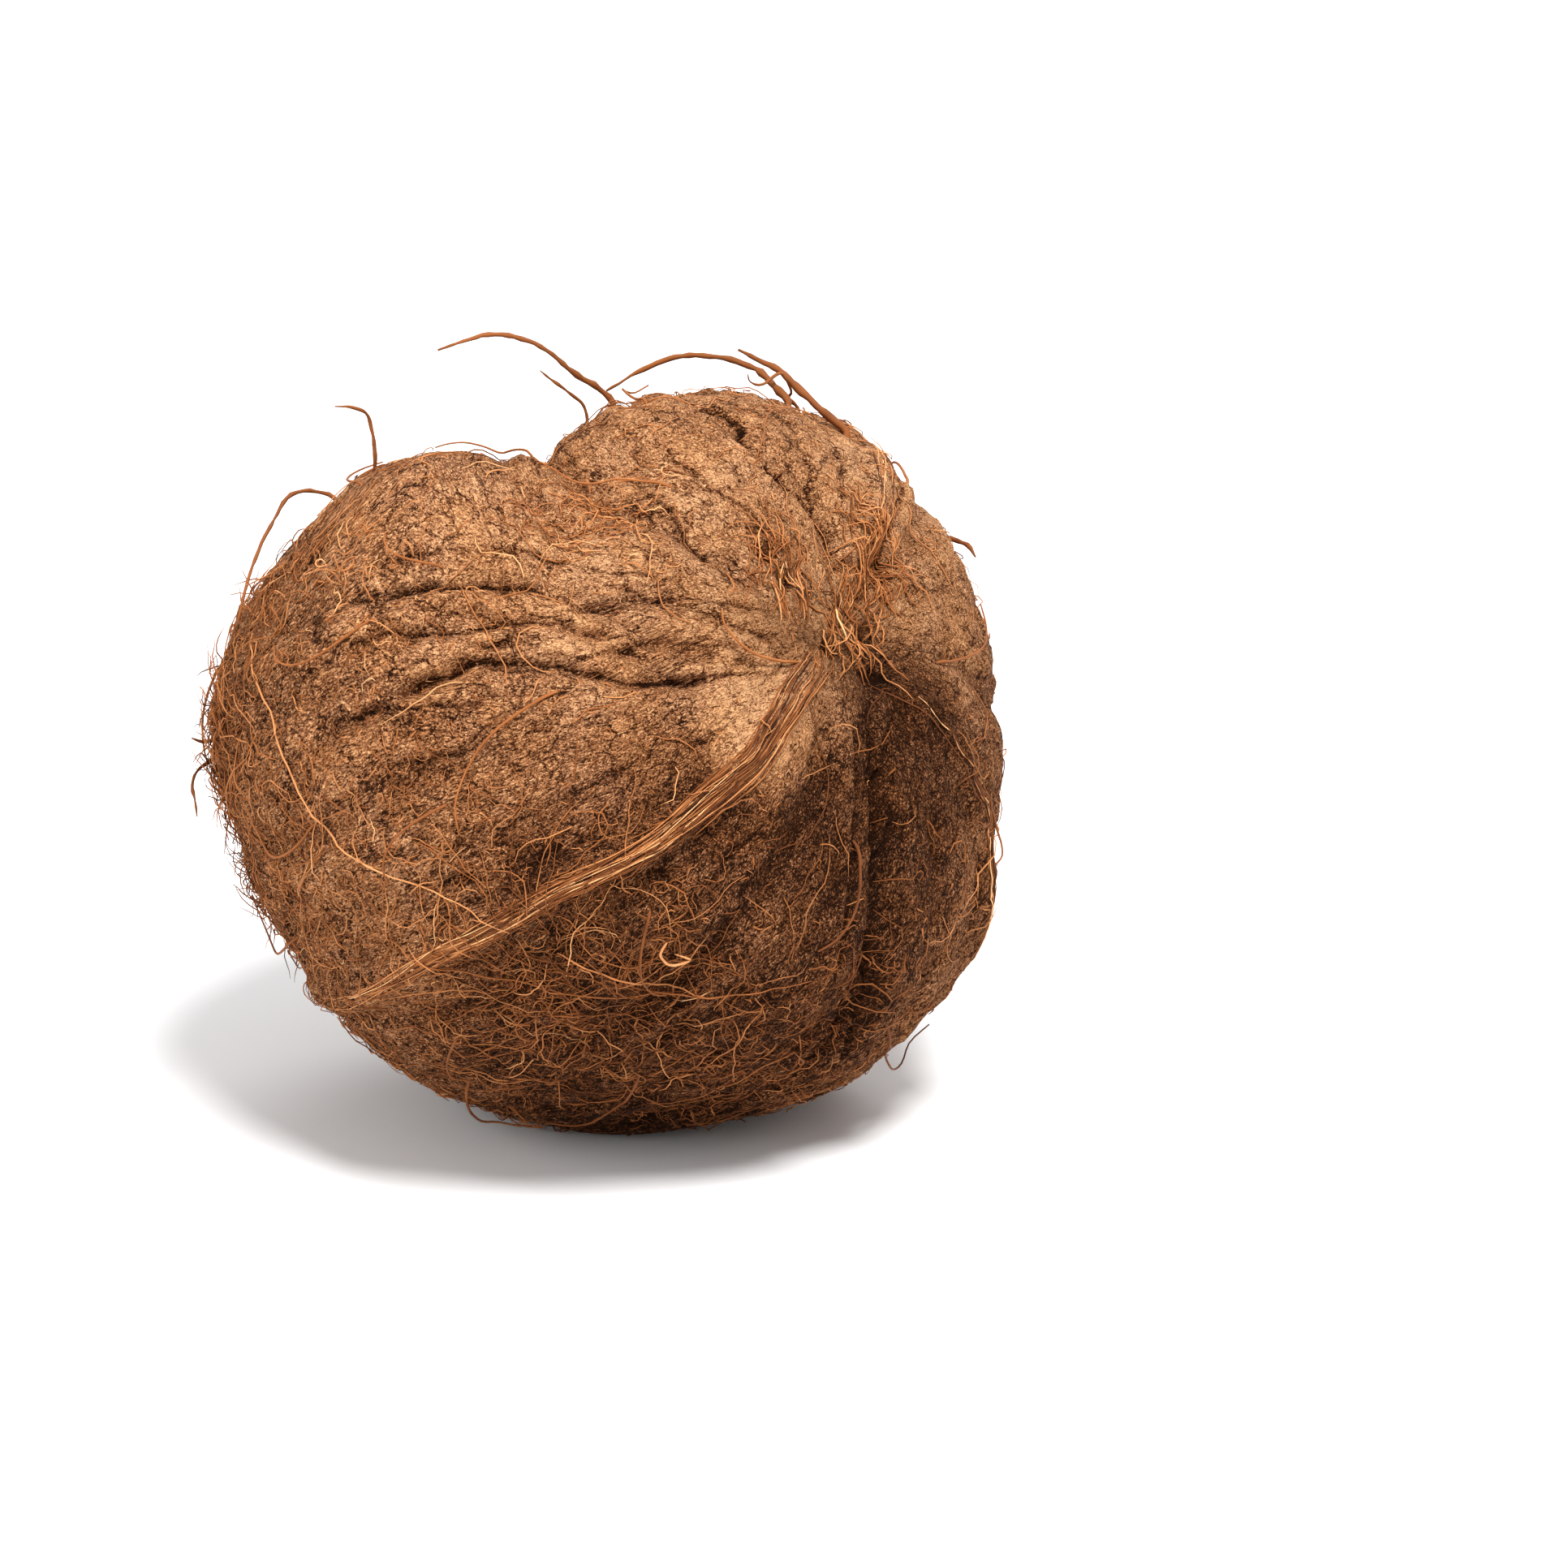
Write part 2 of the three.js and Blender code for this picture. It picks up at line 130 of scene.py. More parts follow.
SMALL_FURROWS = 30
SMALL_FURROW_START = (18, 66)
SMALL_FURROW_LENGTH = (45, 95)
SMALL_FURROW_DRIFT = {"middle": (-5, 5), "end": (-8, 8)}
SMALL_FURROW_DEPTH = (0.7, 1.5)
SMALL_FURROW_WIDTH = (1.9, 2.8)
LUMPS = 60
LUMP_HEIGHT = 0.9
LUMP_WIDTH = (7, 13)
LUMP_JITTER = 14
SOLID_SEED = 5309

# The grain sways a little from end to end, by size, waves round the husk, waves along it and
# phase, and it bends with the valley.
SWAY = [(6, 1, 1.7, 0.4), (3, 2, 3.1, 2.2)]
BEND_TURN = -77
BEND_SPREAD_DOME = 75
BEND_SPREAD_LOBE = 34
GRAIN_ROUNDS = 10
SEED_STEP = 17.3  # how far apart the noises of two seeds lie

# Bark relief that only the render has: crust in plates, ropes of fibre and crumbs. Sizes and heights
# are in mm. A list of noises has each one's size, amount and seed.
REACH_AT_ENDS = 0.35  # how wide the bark's pattern stays at the two ends
WARP = 1.6
WARP_SIZE = 5
WARP_SEEDS = (1, 2)
PLATE_HEIGHT = 0.42
PLATE_SIZE = 3.6
PLATE_LONG = 2  # how many times longer along the grain
PLATE_EDGE = 0.09
PLATE_SEED = 5
ROPE_HEIGHT = 0.20
ROPE_SIZE = 3.2
ROPE_ALONG = 0.3
ROPE_SEED = 4
CRUMB_HEIGHT = 0.16
CRUMB_NOISE = [(1.5, 1.0, 3), (0.9, 0.6, 8)]
BODY_CELLS = 128
FINER_FRONT = 0.3  # how much finer the mesh is towards the viewer

# Cracks in the bark, each with a lip on one side: polar angles, turn angles and depth. The first
# ones are as seen, and the others are drawn at random.
SEEN_CRACKS = [
    ([44, 52, 62, 76, 86], [-50, -54, -55, -56, -58], 1.1),
    ([12, 26, 35, 47], [-50, -50, -50, -46], 0.7),
    ([40, 50, 60, 73, 84], [-41, -46, -45, -48, -47], 0.9),
    ([13, 30, 46], [-26, -36, -43], 0.6),
    ([16, 26, 40, 47, 58, 74], [-14, -20, -29, -35, -39, -38], 1.0),
    ([24, 44, 52, 64, 78], [-55, -58, -61, -61, -62], 0.6),
    ([54, 64, 76, 88], [-31, -33, -37, -38], 0.7),
    ([58, 66, 80], [-24, -26, -29], 0.6),
    ([12, 17, 20, 24, 32, 40, 54], [-134, -132, -128, -120, -119, -122, -120], 1.4),
    ([18, 24, 29, 34, 42], [-62, -69, -77, -83, -88], 0.9),
    ([10, 25, 28, 33, 44], [-28, -45, -48, -51, -56], 0.9),
    ([14, 22, 32, 44], [-94, -97, -97, -102], 0.7),
    ([14, 24, 36, 52], [-122, -130, -134, -137], 0.6),
    ([16, 28, 42], [-134, -143, -147], 0.6),
    ([12, 24, 40, 56, 76], [76, 62, 64, 70, 73], 1.5),
    ([12, 27, 39, 54], [50, 50, 54, 58], 1.1),
    ([8, 20, 34, 50], [-188, -163, -166, -168], 1.1),
]
CRACKS = 76
CRACK_LENGTH = (9, 40)
CRACK_DEPTH = (0.3, 0.9)
CRACK_WANDER = 1.3
CRACK_JITTER = [(5.0, 1.0, 9), (1.8, 0.45, 9)]
CRACK_POINTS = 9
CRACK_POLARS = (8, 168)
CRACK_CROWD = 0.8  # under 1, cracks crowd towards the far end
CRACK_CLOSE = 0.3  # least share of the girth, for their wander near the stem end
# How whole the cracks drawn at random are.
BROKEN_MEAN = 0.75
BROKEN_MOST = 1.4
BROKEN_NOISE = [(7, 1.2, 10)]
LIP_SHARE = 0.55

# The profile of a crack 1 mm deep: place across it, half width and share.
GAP_PROFILE = [(0.2, 0.6, 1.0), (1.4, 1.4, 0.25)]
LIP_PROFILE = (-1.7, 1.4)

CAMERA_DISTANCE = 1000
PHOTO_WIDTH_MM = 257.6  # width of the whole picture at the coconut's distance
AIM_RIGHT = 27.5
AIM_UP = -2.8
SENSOR = 36

MASK = 0xFFFFFFFF


class Draws:
    """The seeded random numbers of the solid's own rule, from 0 to 1."""

    def __init__(self, seed):
        self.state = seed & MASK

    def next(self):
        self.state = (self.state + 0x6D2B79F5) & MASK
        mixed = ((self.state ^ (self.state >> 15)) * (self.state | 1)) & MASK
        stirred = ((mixed ^ (mixed >> 7)) * (mixed | 61)) & MASK
        mixed ^= (mixed + stirred) & MASK
        return ((mixed ^ (mixed >> 14)) & MASK) / 2**32

    def between(self, limits):
        low, high = limits
        return low + (high - low) * self.next()


def direction_at(polar, turn):
    """The outward direction at a polar and a turn angle, for numbers or arrays."""
    p = np.radians(np.asarray(polar, dtype=float))[..., None]
    t = np.radians(np.asarray(turn, dtype=float))[..., None]
    return np.cos(p) * STEM + np.sin(p) * (np.cos(t) * ZERO + np.sin(t) * QUARTER)


def angles_of(directions):
    polar = np.degrees(np.arccos(np.clip(directions @ STEM, -1, 1)))
    turn = np.degrees(np.arctan2(directions @ QUARTER, directions @ ZERO))
    return polar, turn


def degrees_from(directions, centre):
    return np.degrees(np.arccos(np.clip(directions @ centre, -1, 1)))


def wrap_turn(turn):
    return (turn + 180) % 360 - 180


def bell(x):
    return np.exp(-x * x)


def smooth_step(x, low, high):
    share = np.clip((x - low) / (high - low), 0, 1)
    return share * share * (3 - 2 * share)


def as_seen(place, towards=None):
    """A point that the viewer sees at mm right and up of the middle, on the husk if not given."""
    right, up = place
    if towards is None:
        towards = math.sqrt(max(HUSK_RADIUS**2 - right**2 - up**2, 0))
    return right * VIEW_RIGHT + up * VIEW_UP + towards * TO_VIEWER


def seen(right, up):
    """The direction of the place on the husk that the viewer sees at mm right and up."""
    return unit(as_seen((right, up)))


solid_draws = Draws(SOLID_SEED)


def spread_directions(count, jitter):
    """Directions spread evenly over the whole husk, each moved a little at random."""
    golden_turn = 180 * (3 - math.sqrt(5))
    places = []
    for i in range(count):
        polar = math.degrees(math.acos(1 - 2 * (i + 0.5) / count))
        polar = min(max(polar + jitter * (solid_draws.next() - 0.5), 1), 179)
        places.append(direction_at(polar, i * golden_turn + jitter * (solid_draws.next() - 0.5)))
    return places


def solid_relief():
    """The lumps and the small furrows, drawn in the same order as in the solid."""
    lumps = []
    for place in spread_directions(LUMPS, LUMP_JITTER):
        height = LUMP_HEIGHT * (2 * solid_draws.next() - 1)
        lumps.append((place, height, solid_draws.between(LUMP_WIDTH)))
    furrows = []
    for i in range(SMALL_FURROWS):
        turn = (i + solid_draws.next()) * 360 / SMALL_FURROWS - 180
        start = solid_draws.between(SMALL_FURROW_START)
        end = start + solid_draws.between(SMALL_FURROW_LENGTH)
        middle = turn + solid_draws.between(SMALL_FURROW_DRIFT["middle"])
        turns = [turn, middle, turn + solid_draws.between(SMALL_FURROW_DRIFT["end"])]
        depth = -solid_draws.between(SMALL_FURROW_DEPTH)
        width = solid_draws.between(SMALL_FURROW_WIDTH)
        furrows.append(([start, (start + end) / 2, end], turns, depth, width))
    return lumps, furrows


lumps, small_furrows = solid_relief()
rng = np.random.default_rng(SOLID_SEED)


def draw(limits, size=None):
    return rng.uniform(limits[0], limits[1], size)


def line_place(polars, turns, polar, turn):
    """How far across a line each place is in mm, and how much of the line there is, from 0 to 1."""
    middle = np.interp(polar, polars, turns)
    across = wrap_turn(turn - middle) * np.sin(np.radians(polar)) * MM_PER_DEGREE
    starts = smooth_step(polar, polars[0], polars[0] + LINE_FADE)
    return across, starts * (1 - smooth_step(polar, polars[-1] - LINE_FADE, polars[-1]))


def line_shape(line, polar, turn, power):
    """How much of a rib or a furrow there is at each place, from 0 to 1."""
    polars, turns, _, width = line
    across, share = line_place(polars, turns, polar, turn)
    return share * np.exp(-((across / width) ** power))


def valley_shape(polar, turn):
    across = wrap_turn(turn - np.interp(polar, VALLEY_POLAR, VALLEY_TURN)) * np.sin(np.radians(polar))
    width = np.where(across < 0, VALLEY_WIDTH_NEAR, VALLEY_WIDTH_FAR)
    start = 1 / (1 + np.exp((VALLEY_START - polar) / VALLEY_FADE))
    end = 1 / (1 + np.exp((polar - VALLEY_END) / VALLEY_FADE))
    return np.interp(polar, VALLEY_POLAR, VALLEY_DEPTH) * bell(across / width) * start * end


def solid_radius(directions, polar, turn, grain):
    """Distance from the middle to the surface, by the solid's own rule but for its flat spot."""
    radius = HUSK_RADIUS - valley_shape(polar, turn)
    for at_polar, at_turn, height, width in SWELLS:
        radius += height * bell(degrees_from(directions, direction_at(at_polar, at_turn)) / width)
    for centre, height, width in lumps:
        radius += height * bell(degrees_from(directions, centre) / width)
    for lines, around, power in ((RIBS, turn, RIB_POWER), (FURROWS, turn, FURROW_POWER),
                                 (small_furrows, grain, FURROW_POWER)):
        for line in lines:
            radius += line[2] * line_shape(line, polar, around, power)
    return radius


def above_rest(directions, radius):
    """The radius with the underside evened out round the flat spot."""
    rest = np.exp(-((degrees_from(directions, DOWN) / REST_SPREAD) ** REST_EDGE))
    return radius + (REST_RADIUS - radius) * rest


def turn_of_grain(polar, grain):
    """The turn angle, at a polar angle, of the grain that has this number."""
    p, g = np.radians(polar), np.radians(grain)
    turn = grain + 0.0
    for size, waves, along, phase in SWAY:
        turn = turn + size * np.sin(p) * np.sin(waves * g + along * p + phase)
    bend = np.interp(polar, VALLEY_POLAR, VALLEY_TURN) - BEND_TURN
    away = wrap_turn(grain - BEND_TURN)
    return turn + bend * bell(away / np.where(away < 0, BEND_SPREAD_DOME, BEND_SPREAD_LOBE))


def grain_at(polar, turn):
    """The number of the grain at a place."""
    grain = turn + 0.0
    for _ in range(GRAIN_ROUNDS):
        grain = grain + wrap_turn(turn - turn_of_grain(polar, grain))
    return grain


def noise_at(points, scale, seed):
    """Smooth noise from about -1 to 1 with features of about that scale in mm."""
    moved = points / scale + seed * SEED_STEP
    return np.array([noise.noise(point) for point in moved.tolist()])


def noise_sum(points, layers):
    """Layers of noise, each with its size in mm, its amount and its seed."""
    return sum(amount * noise_at(points, scale, seed) for scale, amount, seed in layers)


def cracks():
    """Narrow cracks in the bark that wander along the grain: polar and grain angles."""
    made = []
    for i in range(CRACKS):
        length = draw(CRACK_LENGTH) / MM_PER_DEGREE
        low, high = CRACK_POLARS
        start = low + (high - low - length) * rng.random() ** CRACK_CROWD
        polars = np.linspace(start, start + length, CRACK_POINTS)
        steps = np.cumsum(rng.normal(0, CRACK_WANDER / MM_PER_DEGREE, CRACK_POINTS))
        first = (i + rng.random()) * 360 / CRACKS
        turns = first + steps / np.maximum(np.sin(np.radians(polars)), CRACK_CLOSE)
        made.append((polars, turns, draw(CRACK_DEPTH)))
    return made


crack_lines = cracks()


def crack_relief(line, polar, turn, jitter):
    """At each place, how deep a crack is, how high its lip stands and how far off its middle is."""
    polars, turns, depth = line
    across, share = line_place(polars, turns, polar, turn)
    across = across + jitter
    gap = sum(amount * bell((across - place) / half) for place, half, amount in GAP_PROFILE)
    place, half = LIP_PROFILE
    lip = LIP_SHARE * bell((across - place) / half)
    return depth * share * gap, depth * share * lip, across


# Pits between the gnarled fibres near the stem end, sunk into the mesh and darkened with painted shade:
# direction, half width and depth.
PITS = [
    (seen(25.5, 35), 1.8, 1.8),
    (seen(29.5, 31), 2.0, 2.2),
    (seen(33.5, 27), 1.2, 1.4),
    (seen(38.6, 33), 1.2, 1.8),
    (seen(43.6, 31), 1.0, 1.6),
    (seen(41.0, 28), 1.3, 2.0),
    (seen(43.5, 22), 1.8, 2.4),
    (seen(38.5, 21), 1.2, 1.6),
    (seen(45, 15), 2.2, 1.8),
]


class Husk:
    """The husk's surface at many directions: its radius with bark, and what its colour needs."""

    def __init__(self, directions):
        polar, turn = angles_of(directions)
        number = grain_at(polar, turn)
        reach = HUSK_RADIUS * (REACH_AT_ENDS + (1 - REACH_AT_ENDS) * np.sin(np.radians(polar)))
        angle = np.radians(number)
        along = polar * MM_PER_DEGREE
        flat = np.stack([reach * np.cos(angle), reach * np.sin(angle), along], axis=-1)
        places = directions * HUSK_RADIUS
        warps = [noise_at(flat, WARP_SIZE, seed) for seed in WARP_SEEDS]
        warped = flat + WARP * np.stack([*warps, 0 * along], axis=-1)
        plates = noise_at(warped * (1, 1, 1 / PLATE_LONG), PLATE_SIZE, PLATE_SEED)
        self.plate = smooth_step(plates, -PLATE_EDGE, PLATE_EDGE)
        ropes = 1 - 2 * np.abs(noise_at(warped * (1, 1, ROPE_ALONG), ROPE_SIZE, ROPE_SEED))
        self.crumb = noise_sum(places, CRUMB_NOISE)
        bark = PLATE_HEIGHT * (self.plate - 0.5) + ROPE_HEIGHT * ropes + CRUMB_HEIGHT * self.crumb
        jitter = noise_sum(places, CRACK_JITTER)
        broken = np.clip(BROKEN_MEAN + noise_sum(places, BROKEN_NOISE), 0, BROKEN_MOST)
        self.gap, self.lip, self.off_crack, self.pit = np.zeros((4, len(directions)))
        for line in SEEN_CRACKS:
            self.add_crack(*crack_relief(line, polar, turn, jitter), 1)
        for line in crack_lines:
            self.add_crack(*crack_relief(line, polar, number, jitter), broken)
        self.line = np.stack([self.off_crack, self.gap, 0 * self.gap], axis=-1)
        for centre, width, depth in PITS:
            away = degrees_from(directions, centre) * MM_PER_DEGREE + jitter
            self.pit = np.maximum(self.pit, depth * bell(away / width))
        drawn = [(line, turn) for line in FURROWS] + [(line, number) for line in small_furrows]
        depths = [-line[2] * line_shape(line, polar, around, FURROW_POWER) for line, around in drawn]
        self.furrow = np.max(depths, axis=0)
        radius = solid_radius(directions, polar, turn, number) + bark
        radius += self.lip - np.maximum(self.gap, self.pit)
        self.radius = above_rest(directions, radius)
        self.grain = flat * (self.radius / HUSK_RADIUS)[:, None]

    def add_crack(self, gap, lip, off, share):
        self.off_crack = np.where(gap * share > self.gap, off, self.off_crack)
        self.gap = np.maximum(self.gap, gap * share)
        self.lip = np.maximum(self.lip, lip * share)


# Tones of the husk, from 0 for the darkest to 1 for the lightest: the middle of each region, its width in
# degrees and its tone. The last five face away from the viewer. The low tones hold painted shade: the
# underside is darker down to a painted contact shadow near the floor, and three dark spots are painted
# shadow low at the right, beside the ribbon and in a hollow at the right.
TONES_AND_SHADE = [
    (seen(10, 42), 16, 0.67),
    (seen(20, 56), 12, 0.56),
    (seen(40, 44), 12, 0.74),
    (seen(48, 28), 10, 0.64),
    (seen(-20, 30), 20, 0.65),
    (seen(-26, 47), 12, 0.51),
    (seen(-8, 24), 10, 0.78),
    (seen(-24, 22), 9, 0.64),
    (seen(-20, 8), 16, 0.45),
    (seen(27, 10), 7, 0.96),
    (seen(-56, 10), 16, 0.46),
    (seen(-50, -20), 18, 0.55),
    # Painted shade: the next four make the underside darker towards the floor, darkest at a painted contact
    # shadow.
    (seen(5, -25), 14, 0.26),
    (seen(0, -48), 16, 0.19),
    (seen(5, -60), 10, 0.08),
    (seen(32, -44), 16, 0.17),
    # Painted shadow low at the right.
    (seen(42, -8), 12, 0.19),
    (seen(32, 14), 9, 0.62),
    # The next two are painted shadow, beside the ribbon and in a hollow at the right.
    (seen(-9, -17), 4, 0.10),
    (seen(47, 11), 7, 0.16),
    (direction_at(150, 0), 30, 0.30),
    (direction_at(110, 130), 30, 0.44),
    (direction_at(110, -150), 30, 0.52),
    (direction_at(170, 180), 30, 0.44),
    (direction_at(80, 110), 26, 0.40),
]
REST_WEIGHT = 0.02
REST_TONE = 0.48  # where no place is near


# The tone at each place, with the painted shade of the regions above.
def tone_and_shade_at(directions):
    total = np.full(len(directions), REST_WEIGHT)
    weighted = REST_TONE * total
    for centre, width, tone in TONES_AND_SHADE:
        weight = bell(degrees_from(directions, centre) / width)
        total += weight
        weighted += weight * tone
    return weighted / total


def rgb(red, green, blue):
    """A colour given by its 8-bit display values, as a linear colour."""
    channels = [value / 255 for value in (red, green, blue)]
    linear = [c / 12.92 if c <= 0.04045 else ((c + 0.055) / 1.055) ** 2.4 for c in channels]
    return (*linear, 1.0)


# The husk's colours from the darkest to the lightest.
HUSK_RAMP = [
    (0.0, rgb(38, 17, 4)),
    (0.22, rgb(84, 44, 16)),
    (0.45, rgb(137, 86, 50)),
    (0.68, rgb(193, 131, 83)),
    (1.0, rgb(241, 183, 126)),
]


class Nodes:
    """Adds shader nodes to a material and links them."""

    def __init__(self, name):
        self.material = bpy.data.materials.new(name)
        self.material.use_nodes = True
        self.tree = self.material.node_tree
        self.shader = self.tree.nodes["Principled BSDF"]

    def add(self, kind, inputs=(), **settings):
        node = self.tree.nodes.new(kind)
        for key, value in settings.items():
            setattr(node, key, value)
        for key, value in dict(inputs).items():
            if isinstance(value, bpy.types.NodeSocket):
                self.tree.links.new(value, node.inputs[key])
            else:
                node.inputs[key].default_value = value
        return node

    def attribute(self, name, output="Vector"):
        return self.add("ShaderNodeAttribute", attribute_name=name).outputs[output]

    def maths(self, operation, a, b=0.0):
        return self.add("ShaderNodeMath", {0: a, 1: b}, operation=operation).outputs[0]

    def plus(self, a, b):
        return self.maths("ADD", a, b)

    def times(self, a, b):
        return self.maths("MULTIPLY", a, b)

    def vector_maths(self, operation, a, b):
        return self.add("ShaderNodeVectorMath", {0: a, 1: b}, operation=operation).outputs[0]

    def noise(self, place, output="Fac", **inputs):
        return self.add("ShaderNodeTexNoise", {"Vector": place, "Scale": 1.0, **inputs}).outputs[output]

    def map_range(self, value, low, high, at_low, at_high):
        limits = {"Value": value, "From Min": low, "From Max": high, "To Min": at_low, "To Max": at_high}
        return self.add("ShaderNodeMapRange", limits, interpolation_type="SMOOTHSTEP").outputs["Result"]

    def ramp(self, value, stops):
        node = self.add("ShaderNodeValToRGB", {"Fac": value})
        elements = node.color_ramp.elements
        while len(elements) < len(stops):
            elements.new(0.5)
        for element, (position, colour) in zip(elements, stops):
            element.position = position
            element.color = colour
        return node.outputs["Color"]

    def link(self, output, key):
        self.tree.links.new(output, self.shader.inputs[key])


# The bark's own node texture. Each layer of grit and each net of cracks has its size across and
# along the grain in mm, how much it changes the tone, and its height in mm. Round ones don't
# follow the grain.
BARK_LAYERS = [
    ((0.26, 0.26), 0.30, 0.08),
    ((0.24, 1.0), 0.42, 0.16),
    ((0.6, 0.6), 0.18, 0.12),
    ((0.5, 1.8), 0.16, 0.16),
    ((1.3, 2.6), 0.06, 0.22),
    ((3.4, 6.8), 0.06, 0.0),
]
# The nets darken their lines with painted shade in the fine cracks.
CRACK_NETS = [
    ((2.1, 2.1), 0.26, 0.20),
    ((4.2, 8.0), 0.34, 0.40),
]
# Where a layer starts and where it is full, in the values of its noise.
GRIT_RANGE = (0.36, 0.64)
NET_SHOWN = (0.40, 0.56)
FLAKES_SHOWN = (0.38, 0.50)
GREY_SHOWN = (0.4, 0.62)
GRIT_NOISE = {"Detail": 3.0, "Roughness": 0.65}
NET_NOISE = {"Detail": 4.0, "Roughness": 0.65}
NET_THIN = 0.06  # width of a line in sizes of the net
NET_BENT = 1.3

# Flakes of crust that overlap: the size of the layers, how many there are, how much of a flake its line of
# painted shadow takes and where its lip with a painted highlight starts, the tones of that shadow and
# highlight, and the height of a step in mm.
FLAKE_SIZE = (5.0, 11.0)
FLAKE_NOISE = {"Detail": 4.0, "Roughness": 0.55}
FLAKE_LAYERS = 7.0
FLAKE_LINE = 0.16
FLAKE_LIP = 0.7
FLAKE_SHADOW = 0.36
FLAKE_HIGHLIGHT = 0.12
FLAKE_STEP = 0.45

# The line of painted shade in a main crack: how far it wavers, the grit of its edge, its half width and
# where it has faded, in mm, and how much a crack 1 mm deep darkens it with painted shade and sinks it.
LINE_WAVER = 0.6
LINE_GRIT = (0.6, 0.6)
LINE_HALF = 0.10
LINE_EDGE = 0.34
LINE_SHADE = 0.34
LINE_SINK = 0.4

PATCH_SIZE = (9.0, 9.0)
GREY_RANGE = (0.98, 0.95)  # saturation from patch to patch
BARK_ROUGHNESS = (0.2, 0.8, 0.95, 0.82)  # two tones, and the roughness at each
BARK_SPECULAR = 0.06
FIBRE_SPECULAR = 0.12


class Bark(Nodes):
    """The husk's material. Each layer changes the tone and the height that the layers before gave."""

    def __init__(self):
        super().__init__("husk_bark")
        self.grain = self.attribute("grain")
        self.place_metres = self.add("ShaderNodeTexCoord").outputs["Object"]
        self.tone = self.attribute("tone", "Fac")
        self.height = 0.0

    def change(self, amount, shade, relief):
        self.tone = self.plus(self.tone, self.times(amount, shade))
        self.height = self.plus(self.height, self.times(amount, relief))

    def stretched(self, size):
        """Where a point is, in sizes across and along the grain."""
        across, along = size
        if across == along:
            return self.vector_maths("MULTIPLY", self.place_metres, (1 / across / MM,) * 3)
        return self.vector_maths("MULTIPLY", self.grain, (1 / across, 1 / across, 1 / along))

    def grit(self, size, shade, relief):
        grit = self.noise(self.stretched(size), **GRIT_NOISE)
        self.change(self.map_range(grit, *GRIT_RANGE, -0.5, 0.5), shade, relief)

    def crack_net(self, size, shade, relief):
        """Thin broken lines round plates of crust, sunk and darkened with painted shade."""
        place = self.stretched(size)
        bend = self.vector_maths("SUBTRACT", self.noise(place, "Color", **NET_NOISE), (0.5, 0.5, 0.5))
        bent = self.vector_maths("ADD", place, self.vector_maths("MULTIPLY", bend, (NET_BENT,) * 3))
        cells = self.add("ShaderNodeTexVoronoi", {"Vector": bent, "Scale": 1.0}, feature="DISTANCE_TO_EDGE")
        line = self.map_range(cells.outputs["Distance"], 0.0, NET_THIN, 1.0, 0.0)
        shown = self.map_range(self.noise(place), *NET_SHOWN, 0.0, 1.0)
        self.change(self.times(line, shown), -shade, -relief)

    def flakes(self):
        """Flakes that overlap, where the patches let them: a line of painted shadow, a slope and a lip with
        a painted highlight.
        """
        layers = self.times(self.noise(self.stretched(FLAKE_SIZE), **FLAKE_NOISE), FLAKE_LAYERS)
        flake = self.maths("FRACT", layers)
        shown = self.map_range(self.noise(self.stretched(PATCH_SIZE)), *FLAKES_SHOWN, 0.0, 1.0)
        line = self.times(self.map_range(flake, 0.0, FLAKE_LINE, 1.0, 0.0), shown)
        lip = self.times(self.map_range(flake, FLAKE_LIP, 1.0, 0.0, 1.0), shown)
        # Painted shadow under the edge of each step, and a painted highlight on its lip.
        self.change(line, -FLAKE_SHADOW, 0.0)
        self.change(lip, FLAKE_HIGHLIGHT, 0.0)
        self.change(self.times(flake, shown), 0.0, FLAKE_STEP)

    def main_cracks(self):
        """The line of painted shade in each crack of the mesh, which holds how far off it is and how deep.
        """
        parts = self.add("ShaderNodeSeparateXYZ", {"Vector": self.attribute("crack")}).outputs
        waver = self.maths("SUBTRACT", self.noise(self.stretched(LINE_GRIT)), 0.5)
        off = self.plus(parts["X"], self.times(waver, 2 * LINE_WAVER))
        line = self.map_range(self.maths("ABSOLUTE", off), LINE_HALF, LINE_EDGE, 1.0, 0.0)
        self.change(self.times(line, parts["Y"]), -LINE_SHADE, -LINE_SINK)


def husk_material():
    bark = Bark()
    for layer in BARK_LAYERS:
        bark.grit(*layer)
    for net in CRACK_NETS:
        bark.crack_net(*net)
    bark.flakes()
    bark.main_cracks()
    patches = bark.noise(bark.stretched(PATCH_SIZE), Detail=3.0)
    grey = bark.map_range(patches, *GREY_SHOWN, *GREY_RANGE)
    colour = {"Saturation": grey, "Color": bark.ramp(bark.tone, HUSK_RAMP)}
    bark.link(bark.add("ShaderNodeHueSaturation", colour).outputs["Color"], "Base Color")
    bump = bark.add("ShaderNodeBump", {"Height": bark.height, "Strength": 1.0, "Distance": MM})
    bark.link(bump.outputs["Normal"], "Normal")
    bark.link(bark.map_range(bark.tone, *BARK_ROUGHNESS), "Roughness")
    bark.shader.inputs["Specular IOR Level"].default_value = BARK_SPECULAR
    return bark.material


FIBRE_COLUMNS = 64
FIBRE_COLUMN_HALF = 0.3  # half the width that a fibre takes of its column of the bake map
STREAK_STEP = 3.7  # how far apart the streaks of two columns lie in their noise
STREAK_SHADE = 0.3
STREAK_ROUGH = 0.2
FIBRE_ROUGH = 0.55


